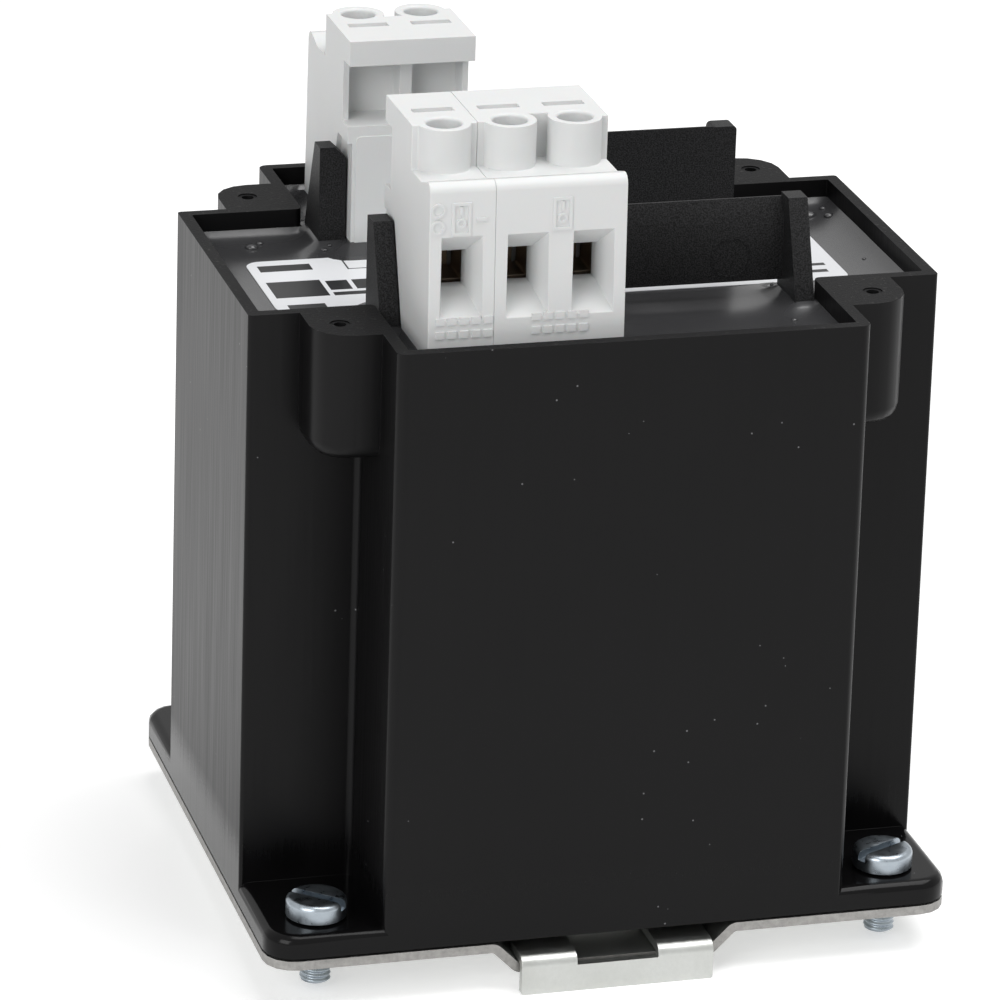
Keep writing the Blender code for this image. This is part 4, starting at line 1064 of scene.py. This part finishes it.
def make_collars():
    """The narrower mouths of the screw towers."""
    outer, bore, length, soft = COLLAR
    top = CAD_BOX[1].z
    arc = [pi / 2 * step / COLLAR_STEPS for step in range(COLLAR_STEPS + 1)]
    mouth = [(bore + soft - soft * sin(angle), soft * cos(angle) - soft) for angle in arc]
    profile = [(outer, 0), *mouth, (bore, -length), (outer, -length)]
    for number, pole in enumerate(POLES, 1):
        collar = add_mesh(f"tower_collar_{number}", closed_ring(profile))
        collar.data.transform(Matrix.Translation((pole.x, pole.y, top - COLLAR_SUNK)))
        mark_sharp(collar)
        belong(collar, "terminal_plastic")


def mark_shapes(name, low, high):
    """The raised rings, boxes and dashes of one strip, as a plan in x and height."""
    line, proud = MARK_LINE, MARK_PROUD
    shapes = []
    if name == "front_single":
        box_x = low.x + MARK_BOX_LEFT
        aside, outer, bore = MARK_PAIR
        shapes += [ring((low.x + aside, level), outer, bore, proud) for level in MARK_PAIR_HEIGHTS]
        (left, bottom), (right, top) = MARK_BAR
        shapes.append(block((low.x + left, bottom, -proud), (low.x + right, top, proud)))
        first = low.x + DASH_LEFT
    else:
        box_x = (low.x + high.x) / 2 + MARK_BOX_ASIDE
        first = box_x - DASH_BEFORE_BOX
    shapes += frame_lines(box_x - MARK_BOX_HALF, box_x + MARK_BOX_HALF, *MARK_BOX, line, proud)
    level, outer, bore = MARK_RING
    shapes.append(ring((box_x, level), outer, bore, proud))
    bottom, top = MARK_STEM
    shapes.append(block((box_x - line / 2, bottom, -proud), (box_x + line / 2, top, proud)))
    for x in [first + DASH_STEP * index for index in range(DASHES)]:
        for bottom, top in DASH_ROWS:
            shapes.append(block((x, bottom, -proud), (x + DASH_LENGTH, top, proud)))
    return shapes


def make_marks():
    """Plain raised marks on the fronts of the strips."""
    for name in ("front_single", "front_double"):
        low, high, _ = strip_places(name)
        marks = add_mesh(f"strip_marks_{name}", joined(mark_shapes(name, low, high)))
        marks.data.transform(upright(low.y, low.z, FACE_LEAN))
        mark_sharp(marks)
        belong(marks, "terminal_plastic")


def make_ejector_mark():
    """The round witness of an ejector pin on the front holder's bar."""
    mark = add_mesh("ejector_mark", ring(EJECTOR_PLACE, *EJECTOR_RING))
    mark.data.transform(upright(-BAR_FACE, 0))
    mark_sharp(mark)
    belong(mark, "former_plastic")


def seen_share(tree):
    """1 for what is looked at, also in reflections and through glass, and 0 for light."""
    paths = tree.nodes.new("ShaderNodeLightPath").outputs
    share = paths["Is Camera Ray"]
    for name in ("Is Glossy Ray", "Is Transmission Ray"):
        larger = tree.nodes.new("ShaderNodeMath")
        larger.operation = "MAXIMUM"
        tree.links.new(share, larger.inputs[0])
        tree.links.new(paths[name], larger.inputs[1])
        share = larger.outputs[0]
    return share


def make_floor():
    """A pale floor that runs far behind the object and takes its shadow."""
    bpy.ops.mesh.primitive_plane_add(size=FLOOR_SIZE, location=(0, 0, FLOOR_Z))
    floor = bpy.context.object
    floor.name = "studio_floor"
    graph = Graph("floor_white")
    diffuse = graph.node("ShaderNodeBsdfDiffuse")
    diffuse.inputs["Color"].default_value = (FLOOR_WHITE, FLOOR_WHITE, FLOOR_WHITE, 1)
    glow = graph.node("ShaderNodeEmission")
    graph.link(graph.math("MULTIPLY", seen_share(graph.tree), FLOOR_GLOW), glow.inputs["Strength"])
    both = graph.node("ShaderNodeAddShader")
    graph.link(diffuse.outputs[0], both.inputs[0])
    graph.link(glow.outputs[0], both.inputs[1])
    output = graph.node("ShaderNodeOutputMaterial")
    graph.link(both.outputs[0], output.inputs["Surface"])
    floor.data.materials.append(graph.material)


def make_world():
    """A white room: white to the eye and in reflections, plainer as light."""
    world = bpy.data.worlds.new("studio")
    bpy.context.scene.world = world
    world.use_nodes = True
    tree = world.node_tree
    tree.nodes.clear()
    strength = tree.nodes.new("ShaderNodeMapRange")
    strength.inputs["To Min"].default_value = WORLD_LIGHT
    strength.inputs["To Max"].default_value = 1.0
    tree.links.new(seen_share(tree), strength.inputs["Value"])
    background = tree.nodes.new("ShaderNodeBackground")
    tree.links.new(strength.outputs["Result"], background.inputs["Strength"])
    output = tree.nodes.new("ShaderNodeOutputWorld")
    tree.links.new(background.outputs[0], output.inputs["Surface"])


def add_area(name, place, target, size, power):
    """A square soft lamp that faces a point."""
    lamp = bpy.data.lights.new(name, "AREA")
    lamp.size = size
    lamp.energy = power
    item = bpy.data.objects.new(name, lamp)
    item.location = place
    item.rotation_euler = (Vector(target) - Vector(place)).to_track_quat("-Z", "Y").to_euler()
    bpy.context.scene.collection.objects.link(item)


def make_lights():
    """Soft light from above, with a weaker one from the front left."""
    middle = (0, 0, RIM_Z / 2)
    for name, place, size, power in LAMPS:
        add_area(name, place, middle, size, power)


def make_camera():
    """The photograph's view."""
    forward = Vector((
        sin(CAMERA_AZIMUTH) * cos(CAMERA_ELEVATION),
        cos(CAMERA_AZIMUTH) * cos(CAMERA_ELEVATION),
        -sin(CAMERA_ELEVATION),
    ))
    right = Vector((cos(CAMERA_AZIMUTH), -sin(CAMERA_AZIMUTH), 0))
    up = right.cross(forward)
    across = right * cos(CAMERA_ROLL) + up * sin(CAMERA_ROLL)
    upward = up * cos(CAMERA_ROLL) - right * sin(CAMERA_ROLL)
    turn = Matrix((across, upward, -forward)).transposed()
    lens = bpy.data.cameras.new("camera")
    lens.sensor_width = CAMERA_SENSOR
    lens.lens = CAMERA_LENS
    camera = bpy.data.objects.new("camera", lens)
    camera.matrix_world = Matrix.Translation(CAMERA_PLACE) @ turn.to_4x4()
    bpy.context.scene.collection.objects.link(camera)
    bpy.context.scene.camera = camera


dress_nodes()
make_housing()
make_former()
make_ejector_mark()
make_foot()
make_latch()
for strip_name in STRIPS:
    make_strip(strip_name)
make_marks()
make_collars()
make_panels()
make_flange_screws()
make_clamp_screws()
make_spring()
make_clamps()
make_resin()
make_bubbles()
make_label()
make_floor()
make_world()
make_lights()
make_camera()
bpy.context.scene.view_settings.view_transform = "Standard"
